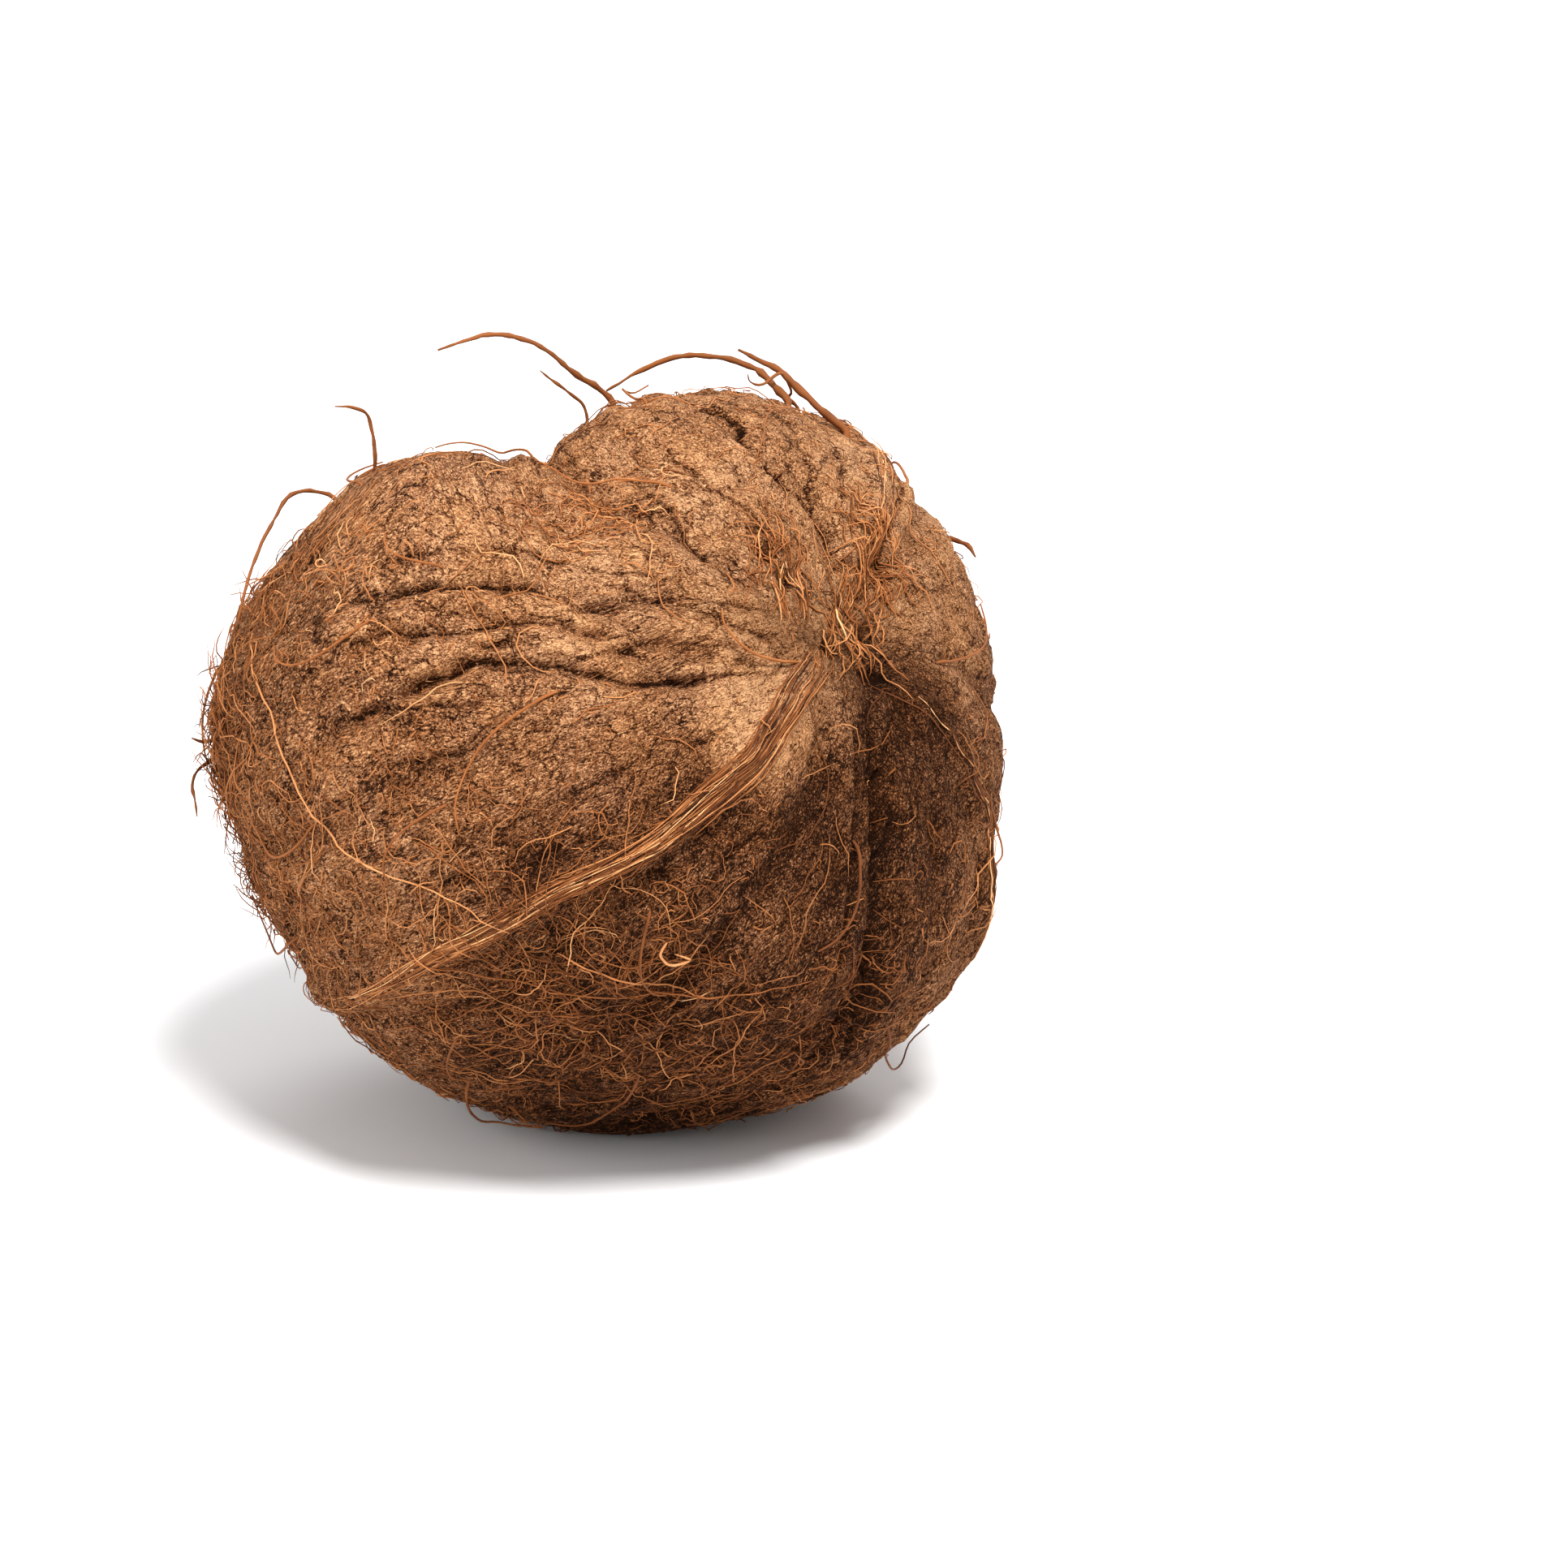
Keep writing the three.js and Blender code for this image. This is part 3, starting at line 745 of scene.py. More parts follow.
def fibre_material():
    """Each fibre reads its tone from its column of the bake map, and its length from its height."""
    nodes = Nodes("coir_fibre")
    place = nodes.add("ShaderNodeUVMap", uv_map=BAKE_MAP).outputs["UV"]
    parts = nodes.add("ShaderNodeSeparateXYZ", {"Vector": place}).outputs
    column = nodes.maths("FLOOR", nodes.times(parts["X"], float(FIBRE_COLUMNS)))
    tone = nodes.maths("DIVIDE", column, float(FIBRE_COLUMNS - 1))
    streak_at = {"X": nodes.times(column, STREAK_STEP), "Y": parts["Y"]}
    streak_place = nodes.add("ShaderNodeCombineXYZ", streak_at).outputs[0]
    streaks = nodes.noise(streak_place, Scale=5.0, Detail=2.0)
    shade = nodes.times(nodes.maths("SUBTRACT", streaks, 0.5), STREAK_SHADE)
    nodes.link(nodes.ramp(nodes.plus(tone, shade), FIBRE_RAMP), "Base Color")
    nodes.link(nodes.plus(nodes.times(streaks, STREAK_ROUGH), FIBRE_ROUGH), "Roughness")
    nodes.shader.inputs["Specular IOR Level"].default_value = FIBRE_SPECULAR
    return nodes.material


# Coir is a little redder and more even than the bark.
FIBRE_RAMP = [
    (0.0, rgb(44, 20, 7)),
    (0.25, rgb(98, 53, 24)),
    (0.5, rgb(152, 90, 46)),
    (0.75, rgb(198, 132, 80)),
    (1.0, rgb(236, 184, 128)),
]


def add_piece(name, points, triangles, bake_corners, material, attributes=None):
    """A mesh in metres that stands on the flat spot and rides on the coconut."""
    mesh = bpy.data.meshes.new(name)
    placed = (points + (0, 0, REST_DROP)) * MM
    mesh.vertices.add(len(placed))
    mesh.vertices.foreach_set("co", placed.astype(np.float32).ravel())
    mesh.loops.add(triangles.size)
    mesh.loops.foreach_set("vertex_index", triangles.astype(np.int32).ravel())
    mesh.polygons.add(len(triangles))
    mesh.polygons.foreach_set("loop_start", np.arange(0, triangles.size, 3, dtype=np.int32))
    mesh.polygons.foreach_set("use_smooth", np.ones(len(triangles), dtype=bool))
    mesh.update(calc_edges=True)
    layer = mesh.uv_layers.new(name=BAKE_MAP)
    layer.data.foreach_set("uv", bake_corners.astype(np.float32).ravel())
    for key, values in (attributes or {}).items():
        kind, field = ("FLOAT", "value") if values.ndim == 1 else ("FLOAT_VECTOR", "vector")
        attribute = mesh.attributes.new(key, kind, "POINT")
        attribute.data.foreach_set(field, values.astype(np.float32).ravel())
    mesh.materials.append(material)
    piece = bpy.data.objects.new(name, mesh)
    bpy.context.scene.collection.objects.link(piece)
    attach(piece, "root")
    return piece


def round_cube(cells):
    """Directions, triangles and bake corners of a ball made from the six faces of a cube."""
    axes = np.eye(3)
    sides = []
    for k in range(3):
        sides.append((axes[(k + 1) % 3], axes[(k + 2) % 3], axes[k]))
        sides.append((axes[(k + 2) % 3], axes[(k + 1) % 3], -axes[k]))
    steps = np.tan(np.linspace(-math.pi / 4, math.pi / 4, cells + 1))
    share = np.linspace(BAKE_MARGIN, 1 - BAKE_MARGIN, cells + 1)
    count = (cells + 1) ** 2
    corner = np.arange(count).reshape(cells + 1, cells + 1)
    a, b, c, d = corner[:-1, :-1], corner[1:, :-1], corner[1:, 1:], corner[:-1, 1:]
    quads = np.stack([a, b, c, a, c, d], axis=-1).reshape(-1, 3)
    directions, triangles, bake = [], [], []
    for k, (across, up, out) in enumerate(sides):
        grid = steps[:, None, None] * across + steps[None, :, None] * up + out
        directions.append(unit(grid).reshape(-1, 3))
        triangles.append(quads + k * count)
        u = (share[:, None] + k % 3) / 3 + 0 * share[None, :]
        v = (share[None, :] + k // 3) / 2 + 0 * share[:, None]
        bake.append(np.stack([u, v], axis=-1).reshape(-1, 2))
    directions = np.concatenate(directions)
    triangles = np.concatenate(triangles)
    bake_corners = np.concatenate(bake)[triangles]
    _, first, same = np.unique(np.round(directions, 6), axis=0, return_index=True, return_inverse=True)
    return directions[first], same.reshape(-1)[triangles], bake_corners


# What adds to the tone of the husk: noise by size in mm, amount and seed, and the parts of the bark. Crack
# gaps, pits and furrows are darkened with painted shade, and crack lips are lightened with a painted
# highlight.
TONE_NOISE = [(14, 0.09, 6), (5, 0.05, 7)]
PLATE_TONE = 0.06
CRUMB_TONE = 0.04
LIP_HIGHLIGHT = 0.12
GAP_SHADE = -0.16
PIT_SHADE = -0.24
FURROW_SHADE = -0.05


def build_body(material):
    directions, triangles, bake_corners = round_cube(BODY_CELLS)
    directions = unit(directions + FINER_FRONT * TO_VIEWER)
    husk = Husk(directions)
    points = directions * husk.radius[:, None]
    points[:, 2] = np.maximum(points[:, 2], -REST_DROP)
    tone = tone_and_shade_at(directions) + noise_sum(points, TONE_NOISE)
    # The lip term is a painted highlight; the gap, pit and furrow terms on the next line are painted shade.
    tone += PLATE_TONE * (husk.plate - 0.5) + CRUMB_TONE * husk.crumb + LIP_HIGHLIGHT * husk.lip
    tone += GAP_SHADE * husk.gap + PIT_SHADE * husk.pit + FURROW_SHADE * husk.furrow
    attributes = {"tone": tone, "grain": husk.grain, "crack": husk.line}
    return add_piece("husk_body", points, triangles, bake_corners, material, attributes)


def tube_mesh(points, radius, tones, sides=3):
    """Closed tubes along n paths of k points each: points, triangles and bake corners."""
    n, k, _ = points.shape
    tangent = unit(np.gradient(points, axis=1))
    side = np.cross(tangent[:, 0], unit(points[:, 0]) + 0.013)
    rings = []
    for step in range(k):
        side = unit(side - tangent[:, step] * np.sum(side * tangent[:, step], axis=1, keepdims=True))
        other = np.cross(tangent[:, step], side)
        for j in range(sides):
            angle = 2 * math.pi * j / sides
            turned = side * math.cos(angle) + other * math.sin(angle)
            rings.append(points[:, step] + turned * radius[:, step, None])
    vertices = np.stack(rings, axis=1)
    at = np.arange(k * sides).reshape(k, sides)
    ahead = np.roll(at, -1, axis=1)
    a, b, c, d = at[:-1], ahead[:-1], ahead[1:], at[1:]
    walls = np.stack([a, b, c, a, c, d], axis=-1).reshape(-1, 3)
    fan = np.array([(0, j, j + 1) for j in range(1, sides - 1)])
    caps = np.concatenate([fan[:, ::-1], fan + (k - 1) * sides])
    one = np.concatenate([walls, caps])
    triangles = (one[None] + (np.arange(n) * k * sides)[:, None, None]).reshape(-1, 3)
    height = np.linspace(*WALL_ENDS, k)
    wall_u = np.tile([-1, 1, 1, -1, 1, -1], (k - 1) * sides)
    low, high = np.repeat(height[:-1], sides), np.repeat(height[1:], sides)
    wall_v = np.stack([low, low, high, low, high, high], axis=-1).ravel()
    cap_u = np.tile([-1, 0, 1], len(caps))
    foot, top = WALL_ENDS
    cap_v = [[foot, BAKE_MARGIN, foot], [top, 1 - BAKE_MARGIN, top]]
    cap_v = np.repeat(cap_v, sides - 2, axis=0).ravel()
    corner_u = np.concatenate([wall_u, cap_u]) * FIBRE_COLUMN_HALF / FIBRE_COLUMNS
    corner_v = np.concatenate([wall_v, cap_v])
    column = np.clip(np.round(tones * (FIBRE_COLUMNS - 1)), 0, FIBRE_COLUMNS - 1)
    u = (column[:, None] + 0.5) / FIBRE_COLUMNS + corner_u[None]
    v = np.broadcast_to(corner_v, u.shape)
    return vertices.reshape(-1, 3), triangles, np.stack([u, v], axis=-1).reshape(-1, 3, 2)


def add_tubes(name, batches, material):
    """One piece from several batches of tubes."""
    points, triangles, corners = zip(*batches)
    starts = np.cumsum([0] + [len(batch) for batch in points[:-1]])
    triangles = [batch + start for batch, start in zip(triangles, starts)]
    return add_piece(name, *map(np.concatenate, (points, triangles, corners)), material)


def grain_heading(directions):
    """The way from the stem end to the far end along the grain."""
    polar, turn = angles_of(directions)
    further = polar + 1.0
    ahead = direction_at(further, turn_of_grain(further, grain_at(polar, turn)))
    heading = ahead - directions
    return unit(heading - directions * np.sum(heading * directions, axis=1, keepdims=True))


def upright_heading(directions):
    """The way along the husk that the viewer sees as upright."""
    return unit(VIEW_UP - directions * (directions @ VIEW_UP)[:, None])


def rotate_about(vectors, axes, angles):
    """Each vector, square to its axis, turned about it by its angle in degrees."""
    a = np.radians(angles)[:, None]
    return vectors * np.cos(a) + np.cross(axes, vectors) * np.sin(a)


def creep(starts, headings, length, steps, bend, wander):
    """Paths that creep over the husk: directions of n paths at each step."""
    here, heading = starts.copy(), headings.copy()
    stride = (length / (steps - 1) / HUSK_RADIUS)[:, None]
    path = [here]
    for _ in range(steps - 1):
        here = unit(here + heading * stride)
        heading = unit(heading - here * np.sum(heading * here, axis=1, keepdims=True))
        heading = rotate_about(heading, here, bend + rng.normal(0, wander, len(here)))
        path.append(here)
    return np.stack(path, axis=1)


STAR_CLEAR = 34  # degrees round the stem end in which there are fewer fibres along the grain
STAR_POWER = 0.5
COIR_TONE = 0.45
COIR_TONE_SPREAD = 0.13
TIP_RISE = 1.5
FIBRE_TAPER = ([0, 0.15, 0.7, 1], [0.8, 1, 0.9, 0.35])  # share of the length and of the radius


def fibre_batch(tries, length, thick, steps, spread, bend, wander, middle, tip, shade, patches,
                root=-0.5, upright=False):
    """Tubes of fibres at random over the husk, with the values of one row of FIBRES."""
    starts = unit(rng.normal(size=(tries, 3)))
    if patches is not ALL_OVER:
        starts = starts[rng.random(tries) < patch_weight(starts, patches)]
    if not upright:
        starts = starts[degrees_from(starts, STEM) > STAR_CLEAR * rng.random(len(starts)) ** STAR_POWER]
    n = len(starts)
    headings = upright_heading(starts) if upright else grain_heading(starts)
    headings = rotate_about(headings, starts, rng.normal(0, spread, n))
    headings *= np.where(rng.random(n) < 0.5, 1, -1)[:, None]
    bends = rng.normal(0, bend, n)
    paths = creep(starts, headings, draw(length, n), steps, bends, wander)
    surface = Husk(paths.reshape(-1, 3)).radius.reshape(n, steps)
    share = np.linspace(0, 1, steps)
    heights = root + draw(middle, n)[:, None] * np.sin(math.pi * share)
    heights += draw(tip, n)[:, None] * share**TIP_RISE
    points = paths * (surface + heights)[..., None]
    keep = points[..., 2].min(axis=1) > thick[1] - REST_DROP
    radius = draw(thick, n)[:, None] * np.interp(share, *FIBRE_TAPER)
    # Fibres take half the husk's tone at their root, painted shade included.
    tones = (tone_and_shade_at(starts) + COIR_TONE) / 2 + rng.normal(0, COIR_TONE_SPREAD, n) + shade
    return tube_mesh(points[keep], radius[keep], np.clip(tones[keep], 0, 1))


def patch_weight(directions, patches):
    """The share of fibres kept at each place."""
    floor, places = patches
    weight = np.full(len(directions), float(floor))
    for centre, width, amount in places:
        weight = np.maximum(weight, amount * bell(degrees_from(directions, centre) / width))
    return weight


# Where coir is thick: the middle of each patch, its width in degrees and the share of fibres kept.
COIR_PATCHES = [
    (seen(-62, 5), 20, 1.0),
    (seen(-52, -22), 24, 0.8),
    (seen(-50, 30), 12, 0.7),
    (seen(-5, -40), 24, 1.0),
    (seen(20, -52), 26, 0.6),
    (seen(-6, 42), 9, 0.9),
    (seen(38, 26), 8, 1.0),
    (direction_at(150, 0), 34, 0.9),
    (direction_at(120, 120), 30, 0.7),
]
# The share of fibres kept outside the patches, and the patches.
CRUMBS = (0.12, COIR_PATCHES)
FUZZ = (0.03, COIR_PATCHES)
STRAY = (0.10, COIR_PATCHES)
CURLS = (0.04, COIR_PATCHES + [(seen(-28, -6), 18, 0.8), (seen(-36, 12), 14, 0.6)])
ALL_OVER = (1, [])
TUFT = (0, [(seen(42, 34), 4, 1.0), (seen(41, 26), 4, 1.0), (seen(28, 32), 4, 0.7)])
SWEEPS = (0, [(seen(-12, -36), 17, 0.8), (seen(10, -36), 14, 0.6)])
TANGLE = (0, [(seen(0, 43), 6, 1.0), (seen(-42, 30), 8, 0.4)])
EDGE = (0, [(seen(-62, 2), 11, 1.0), (seen(-60, -18), 10, 0.6), (seen(-56, 22), 8, 0.5)])


CURVE_STEPS = 12


def loose_curve(points, samples):
    """A smooth curve through the points, evenly sampled."""
    knots = np.array(points)
    ends = np.vstack([2 * knots[0] - knots[1], knots, 2 * knots[-1] - knots[-2]])
    fine = []
    for i in range(len(knots) - 1):
        p0, p1, p2, p3 = ends[i : i + 4]
        for t in np.linspace(0, 1, CURVE_STEPS, endpoint=False):
            fine.append(
                0.5 * (2 * p1 + (p2 - p0) * t + (2 * p0 - 5 * p1 + 4 * p2 - p3) * t**2
                       + (3 * p1 - p0 - 3 * p2 + p3) * t**3)
            )
    fine.append(knots[-1])
    fine = np.array(fine)
    along = np.concatenate([[0], np.cumsum(np.linalg.norm(np.diff(fine, axis=0), axis=1))])
    even = np.linspace(0, along[-1], samples)
    return np.stack([np.interp(even, along, fine[:, axis]) for axis in range(3)], axis=-1)


def on_surface(directions, lift):
    directions = np.atleast_2d(directions)
    return directions * (Husk(directions).radius + lift)[:, None]


# The main strands that stand off the husk, as seen: points from root to tip, how far towards the
# viewer the two ends are, radius and tone.
LOOSE = [
    ([(-0.7, 60), (-3.3, 62.3), (-6, 64), (-8, 65.3), (-11.7, 68.4), (-17.1, 70.3), (-21.3, 70.3),
      (-24, 69.3), (-28.7, 67.7)], (0, 12), 0.48, 0.40),
    ([(-5.1, 58.7), (-8, 61.3), (-12.3, 64.5)], (4, 9), 0.32, 0.35),
    ([(28.3, 59.7), (26, 62.7), (23.3, 65.3), (18.7, 67.3), (13.3, 68.1), (9.3, 67.9), (4, 66),
      (-2, 62.7)], (0, -13), 0.58, 0.40),
    ([(37.7, 54.7), (32.7, 59.3), (27.3, 64.7), (24, 66.7), (20, 68.9)], (4, -6), 0.66, 0.35),
    ([(30, 58.9), (28.3, 60.7), (28.7, 62), (27.1, 64.7), (24, 62.8), (22, 63.1), (21.6, 64.4)], (-4, 3),
     0.32, 0.42),
    ([(-40, 47.3), (-39.6, 51.3), (-40.3, 56.7), (-42, 58.4), (-45.6, 58.7)], (0, 9), 0.36, 0.42),
    ([(-47.3, 44.7), (-52.7, 44.7), (-56, 39.3), (-58.7, 32.7), (-61.3, 22)], (3, 15), 0.36, 0.40),
    ([(-60.7, 24.7), (-61.7, 26.7), (-62.9, 23.3), (-65.3, 15.3), (-68, 9.3)], (0, -9), 0.36, 0.38),
    ([(-65.3, 5.3), (-67.3, 4), (-69.3, 4.7)], (0, 5), 0.34, 0.32),
    ([(-66, 1.3), (-68.9, -2), (-67.7, -8)], (3, 12), 0.34, 0.30),
    ([(54, 37.3), (57.3, 36.4), (58.7, 34.3)], (2, 7), 0.50, 0.34),
]
LOOSE_SAMPLES = 34
LOOSE_WOBBLE = 0.18  # in mm, by noise of this size and with a seed for each axis
WOBBLE_SIZE = 2.5
WOBBLE_SEEDS = (11, 12, 13)
LOOSE_SWELL = [(1.4, 0.5, 14)]
LOOSE_TAPER = ([0, 0.3, 0.8, 1], [1.3, 1, 0.8, 0.35])  # share of the length and of the radius
LOOSE_SIDES = 5

# Long strands that lie on the seen side: points, lift, radius and tone.
LYING = [
    ([(-56, 20.7), (-52, 3.3), (-44, -11.3), (-26.7, -20), (-14.7, -25.3)], 0.4, 0.17, 0.78),
    ([(9.3, -27.3), (8.3, -29.3), (10, -31.3), (13.1, -30.7), (10.7, -29.7)], 1.4, 0.22, 0.80),
    ([(-34.7, -27.3), (-18, -34), (-1.3, -37.3), (16, -37.3), (32, -34)], 0.4, 0.16, 0.46),
    ([(-8, -30), (4, -34.5), (16, -37.5)], 0.6, 0.17, 0.60),
]
LYING_ENDS = 0.4  # share of the lift that the two ends have
LYING_CLEAR = 0.25
LYING_TAPER = ([0, 0.1, 0.8, 1], [0.7, 1, 0.9, 0.4])

# The strands that the solid draws at random, thinner here, by the same rule.
STRANDS = 46
STRAND_JITTER = 16
STRAND_LENGTH = (14, 34)
STRAND_RADIUS = (0.62, 0.78)
STRAND_LIFT = (1.2, 3.4)
STRAND_BEND = 2.4
STRAND_STEPS = 8
STRAND_ARC = 0.75
STRAND_SPREAD = 38
STRAND_FLOOR = 3
STRAND_THINNER = 0.4
STRAND_TIP = 0.5
STRAND_SAMPLES = 24
STRAND_TONE_SHIFT = -0.04
ROOT_SINK = 2.6


def creeping_strand(start):
    """The points of a strand that creeps over the husk near the grain, and its radius."""
    length = solid_draws.between(STRAND_LENGTH)
    lift = solid_draws.between(STRAND_LIFT)
    radius = solid_draws.between(STRAND_RADIUS)
    side = -1 if solid_draws.next() < 0.5 else 1
    bend = STRAND_BEND * side * (1 + solid_draws.next())
    spread = STRAND_SPREAD * (2 * solid_draws.next() - 1)
    here = start[None]
    heading = rotate_about(unit(here * (here @ STEM)[:, None] - STEM), here, np.array([spread]))
    directions, lifts = [here], [-ROOT_SINK]
    for step in range(STRAND_STEPS):
        across = np.cross(here, heading)
        here = unit(here + heading * length / STRAND_STEPS / HUSK_RADIUS)
        heading = rotate_about(unit(np.cross(across, here)), here, np.array([bend * step]))
        directions.append(here)
        lifts.append(lift * math.sin(STRAND_ARC * math.pi * (step + 1) / STRAND_STEPS))
    directions = np.concatenate(directions)
    polar, turn = angles_of(directions)
    surface = above_rest(directions, solid_radius(directions, polar, turn, grain_at(polar, turn)))
    return directions * (surface + lifts)[:, None], radius


def main_strands():
    batches = []

    def add(curve, radii, tone):
        batches.append(tube_mesh(curve[None], radii[None], np.array([tone]), LOOSE_SIDES))

    for start in spread_directions(STRANDS, STRAND_JITTER):
        points, radius = creeping_strand(start)
        if points[:, 2].min() < STRAND_FLOOR - REST_DROP:
            continue
        curve = loose_curve(points, STRAND_SAMPLES)
        radii = radius * STRAND_THINNER * np.linspace(1, STRAND_TIP, STRAND_SAMPLES)
        # Strands take half the husk's tone at their root, painted shade included.
        add(curve, radii, (tone_and_shade_at(start[None])[0] + COIR_TONE) / 2 + STRAND_TONE_SHIFT)
    share = np.linspace(0, 1, LOOSE_SAMPLES)
    for places, towards, radius, tone in LOOSE:
        nearness = np.linspace(*towards, len(places))
        points = [as_seen(place, near) for place, near in zip(places, nearness)]
        root = on_surface(unit(points[0]), -ROOT_SINK)[0]
        curve = loose_curve([root, *points], LOOSE_SAMPLES)
        wobble = [noise_at(curve, WOBBLE_SIZE, seed) for seed in WOBBLE_SEEDS]
        curve += LOOSE_WOBBLE * np.stack(wobble, axis=-1)
        radii = radius * (1 + noise_sum(curve, LOOSE_SWELL)) * np.interp(share, *LOOSE_TAPER)
        add(curve, radii, tone)
    for places, lift, radius, tone in LYING:
        directions = np.array([seen(*place) for place in places])
        curve = unit(loose_curve(directions * HUSK_RADIUS, LOOSE_SAMPLES))
        arc = LYING_ENDS + (1 - LYING_ENDS) * np.sin(math.pi * share)
        curve = on_surface(curve, lift * arc + LYING_CLEAR)
        add(curve, radius * np.interp(share, *LYING_TAPER), tone)
    return batches


# The fibres along each rib: how many, their tone, and the half width of their band at its two ends.
RIB_BANDS = [(180, 0.33, 2.9, 0.6), (30, 0.40, 2.2, 1.2), (26, 0.34, 2.2, 1.0)]
RIB_TONE_SPREAD = 0.24
RIB_FADE = 0.30  # how much lighter the fibres are far from the stem end
RIB_SAMPLES = 24
RIB_SIDES = 4
RIB_START = (-2, 70)  # degrees from the near end of the rib
RIB_LENGTH = (10, 46)
RIB_NARROW = (50, 0.6)  # at this polar angle the band has this share of its near width
RIB_DRIFT = (-0.9, 0.9)  # in mm across the band, as are the next two
RIB_WAVE = 0.3
RIB_LIFT = (-0.1, 0.3)
RIB_RADIUS = (0.06, 0.14)
RIB_TAPER = ([0, 0.1, 0.9, 1], [0.4, 1, 0.9, 0.3])


def rib_strands():
    """Bands of nearly parallel fibres along the ribs."""
    batches = []
    for rib, (count, tone, near_width, far_width) in zip(RIBS, RIB_BANDS):
        polars, turns = rib[:2]
        narrow_at, narrow_share = RIB_NARROW
        band_polars = [polars[0], narrow_at, polars[-1]]
        band_widths = [near_width, narrow_share * near_width, far_width]
        for i in range(count):
            start = polars[0] + draw(RIB_START)
            end = min(start + draw(RIB_LENGTH), polars[-1])
            polar = np.linspace(start, end, RIB_SAMPLES)
            share = np.linspace(0, 1, RIB_SAMPLES)
            offset = np.interp(polar, band_polars, band_widths) * (2 * (i + rng.random()) / count - 1)
            drift = draw(RIB_DRIFT) * share + RIB_WAVE * np.sin(polar / 4 + 6 * rng.random())
            across = (offset + drift) / MM_PER_DEGREE / np.sin(np.radians(polar))
            directions = direction_at(polar, np.interp(polar, polars, turns) + across)
            curve = on_surface(directions, draw(RIB_LIFT))
            radii = draw(RIB_RADIUS) * np.interp(share, *RIB_TAPER)
            tones = np.array([tone + RIB_FADE * start / 90 + rng.normal(0, RIB_TONE_SPREAD)])
            batches.append(tube_mesh(curve[None], radii[None], np.clip(tones, 0, 1), RIB_SIDES))
    return batches


bark = husk_material()
coir = fibre_material()

body = build_body(bark)
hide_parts("coconut")

add_tubes("main_strands", main_strands(), coir)
add_tubes("rib_strands", rib_strands(), coir)
# Fibres, in the order of their draws: tries, length and radius in mm, points of a path, degrees that
# it turns from the grain at its start, all along and at random, how far its middle and its tip stand
# off in mm, change of tone, patches, and the height of its root and upright where not as usual.
FIBRES = {
    "crumbs": (14000, (0.7, 2.2), (0.10, 0.20), 3, 60, 20, 20, (0, 0.1), (-0.1, 0.3), 0.02, CRUMBS, 0),
    "fuzz": (16000, (2, 7), (0.06, 0.13), 6, 70, 22, 28, (0.1, 0.9), (-0.4, 1.2), 0.04, FUZZ),
    "strands": (6000, (4, 18), (0.08, 0.16), 9, 55, 14, 22, (0.2, 1.4), (-0.6, 1.6), 0.08, STRAY),
    "curls": (9000, (2.5, 8), (0.07, 0.14), 8, 60, 24, 34, (0.2, 1.0), (-0.3, 1.2), 0.06, CURLS),
    "long": (60, (16, 40), (0.10, 0.17), 22, 35, 4, 8, (0.3, 1.2), (-0.6, 1.4), 0.0, ALL_OVER),
    "tuft": (90000, (4, 12), (0.08, 0.20), 9, 13, 5, 11, (0.3, 1.8), (-0.5, 1.4), 0.02, TUFT, -0.5, True),
    "sweeps": (6400, (6, 26), (0.08, 0.15), 14, 50, 5, 14, (0.3, 1.6), (-0.6, 1.6), 0.20, SWEEPS),
    "tangle": (15000, (4, 13), (0.11, 0.20), 12, 50, 18, 34, (0.4, 2.2), (-0.4, 1.0), 0.10, TANGLE),
    "edge": (17000, (4, 11), (0.08, 0.16), 8, 60, 14, 24, (0.3, 1.5), (0.2, 4.6), 0.0, EDGE),
}
FIBRE_PIECES = {
    "bark_crumbs": ["crumbs"],
    "coir_fuzz": ["fuzz"],
    "coir_strands": ["strands", "curls", "long", "sweeps"],
    "coir_tufts": ["tuft", "tangle", "edge"],
}

batches = {name: fibre_batch(*values) for name, values in FIBRES.items()}
for name, parts in FIBRE_PIECES.items():
    add_tubes(name, [batches[part] for part in parts], coir)

FLOOR_REACH = 6.0
FLOOR_COLOURS = [(0.0, (0.86, 0.86, 0.86, 1)), (1.0, (0.88, 0.88, 0.88, 1))]
LIGHT_AIM = (0, 0, 0.06)
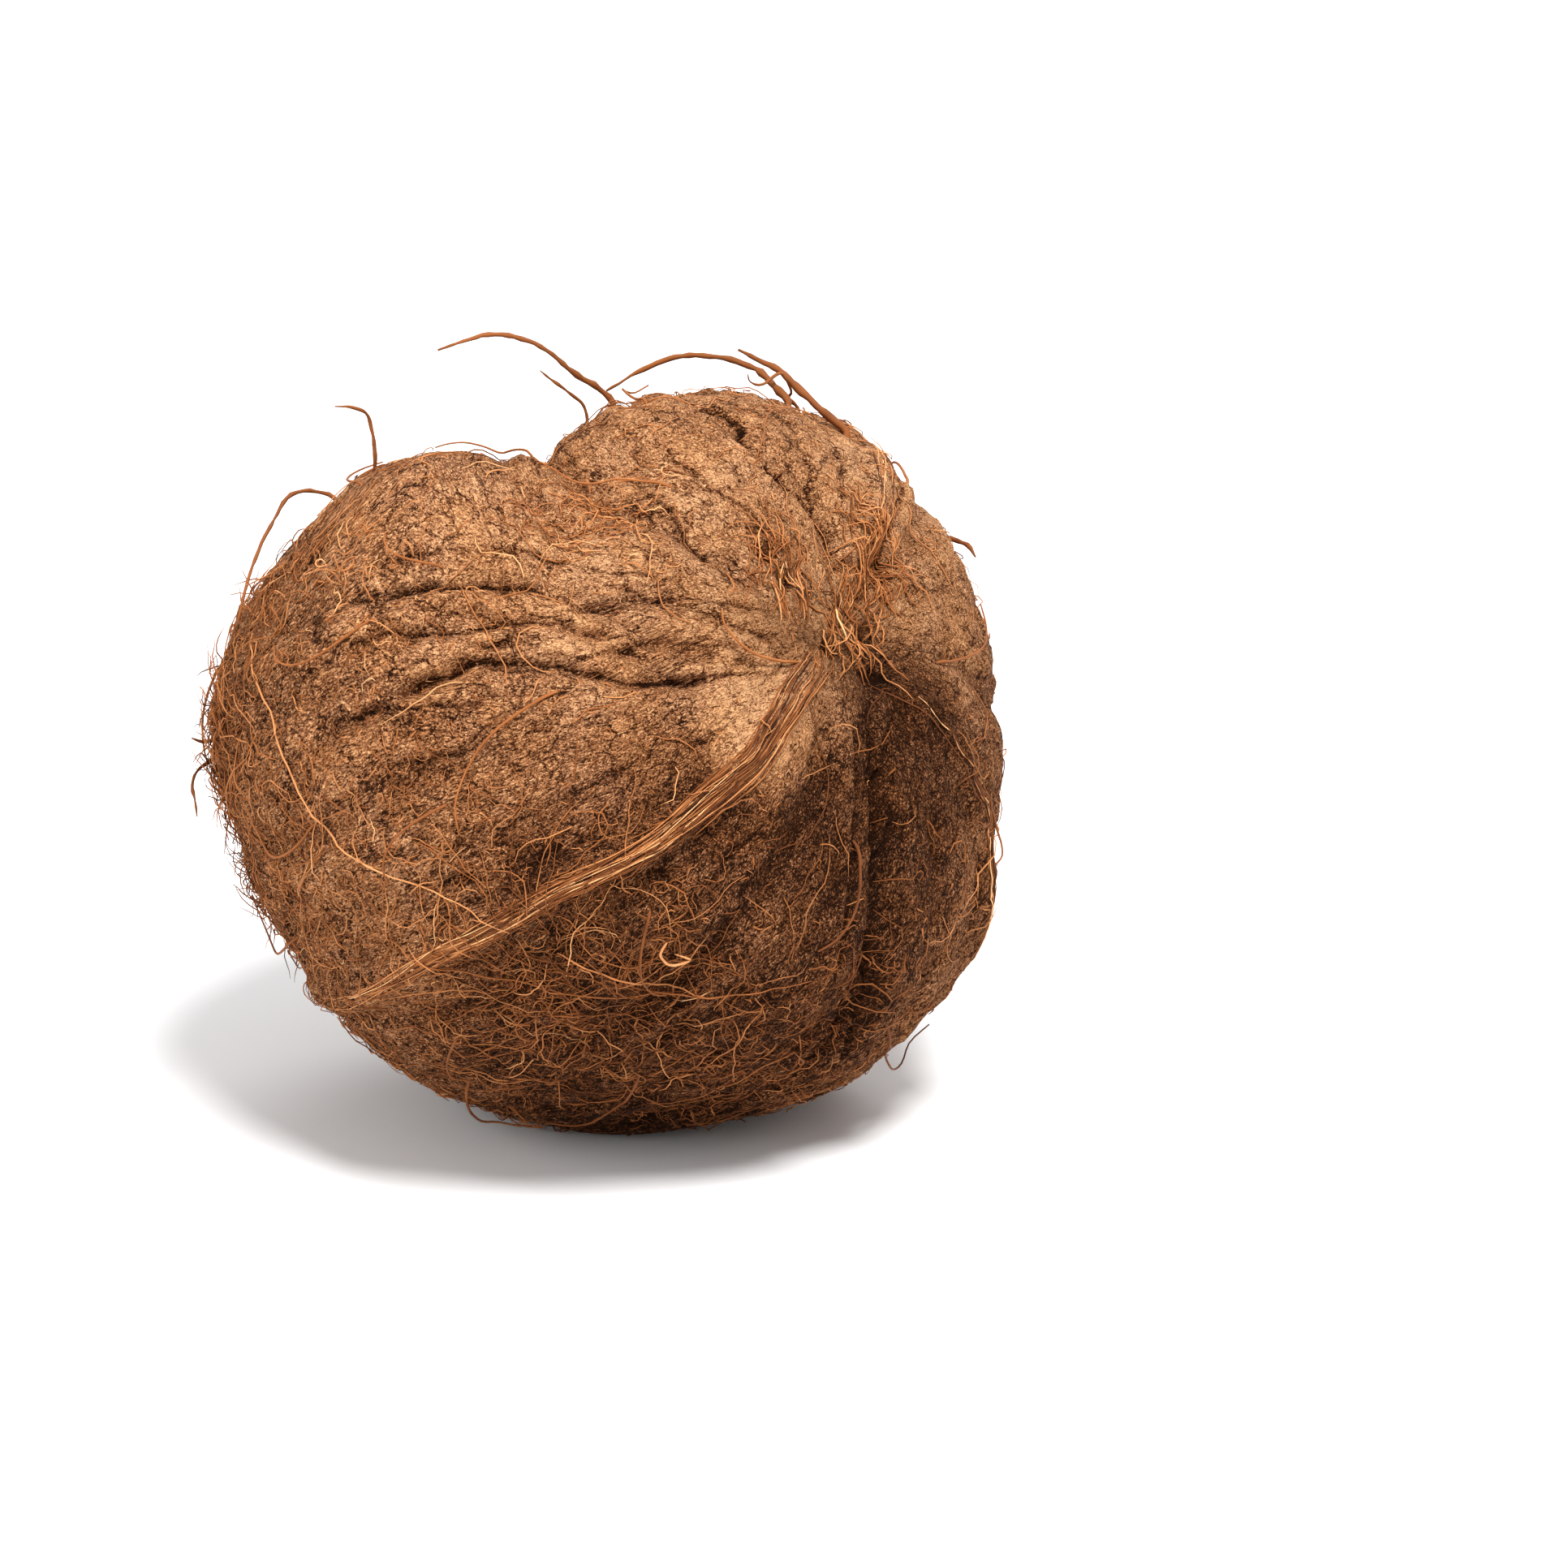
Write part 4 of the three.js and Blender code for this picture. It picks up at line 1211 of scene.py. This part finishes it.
# Name, place and size in metres, and power in watts.
LIGHTS = [
    ("key", (0.3, -0.6, 1.35), 0.5, 32),
    ("left", (-1.2, -0.6, 0.7), 0.9, 8),
    ("back", (0.4, 1.2, 0.9), 0.9, 8),
]
WORLD_STRENGTH = 0.62


def add_floor():
    mesh = bpy.data.meshes.new("floor")
    corners = [(x * FLOOR_REACH, y * FLOOR_REACH, 0) for x, y in ((-1, -1), (1, -1), (1, 1), (-1, 1))]
    mesh.from_pydata(corners, [], [(0, 1, 2, 3)])
    floor = bpy.data.objects.new("floor", mesh)
    bpy.context.scene.collection.objects.link(floor)
    nodes = Nodes("floor_paper")
    grain = nodes.add("ShaderNodeTexNoise", {"Scale": 60.0}).outputs["Fac"]
    nodes.link(nodes.ramp(grain, FLOOR_COLOURS), "Base Color")
    nodes.shader.inputs["Roughness"].default_value = 0.9
    mesh.materials.append(nodes.material)


def add_light(name, place, size, power):
    data = bpy.data.lights.new(name, "AREA")
    data.shape = "DISK"
    data.size = size
    data.energy = power
    light = bpy.data.objects.new(name, data)
    light.location = place
    light.rotation_euler = (Vector(LIGHT_AIM) - Vector(place)).to_track_quat("-Z", "Y").to_euler()
    bpy.context.scene.collection.objects.link(light)


def add_camera():
    data = bpy.data.cameras.new("camera")
    data.sensor_width = SENSOR
    data.lens = SENSOR * CAMERA_DISTANCE / PHOTO_WIDTH_MM
    data.clip_start = 0.05
    camera = bpy.data.objects.new("camera", data)
    aim = np.array([0, 0, REST_DROP]) + AIM_RIGHT * VIEW_RIGHT + AIM_UP * VIEW_UP
    camera.location = (aim + CAMERA_DISTANCE * TO_VIEWER) * MM
    camera.rotation_euler = (math.radians(90 - VIEW_TILT_DEGREES), 0, 0)
    bpy.context.scene.collection.objects.link(camera)
    bpy.context.scene.camera = camera


add_floor()
add_camera()
for light in LIGHTS:
    add_light(*light)

world = bpy.data.worlds.new("studio")
world.use_nodes = True
world.node_tree.nodes["Background"].inputs["Color"].default_value = (1, 1, 1, 1)
world.node_tree.nodes["Background"].inputs["Strength"].default_value = WORLD_STRENGTH
bpy.context.scene.world = world
bpy.context.scene.view_settings.view_transform = "Standard"
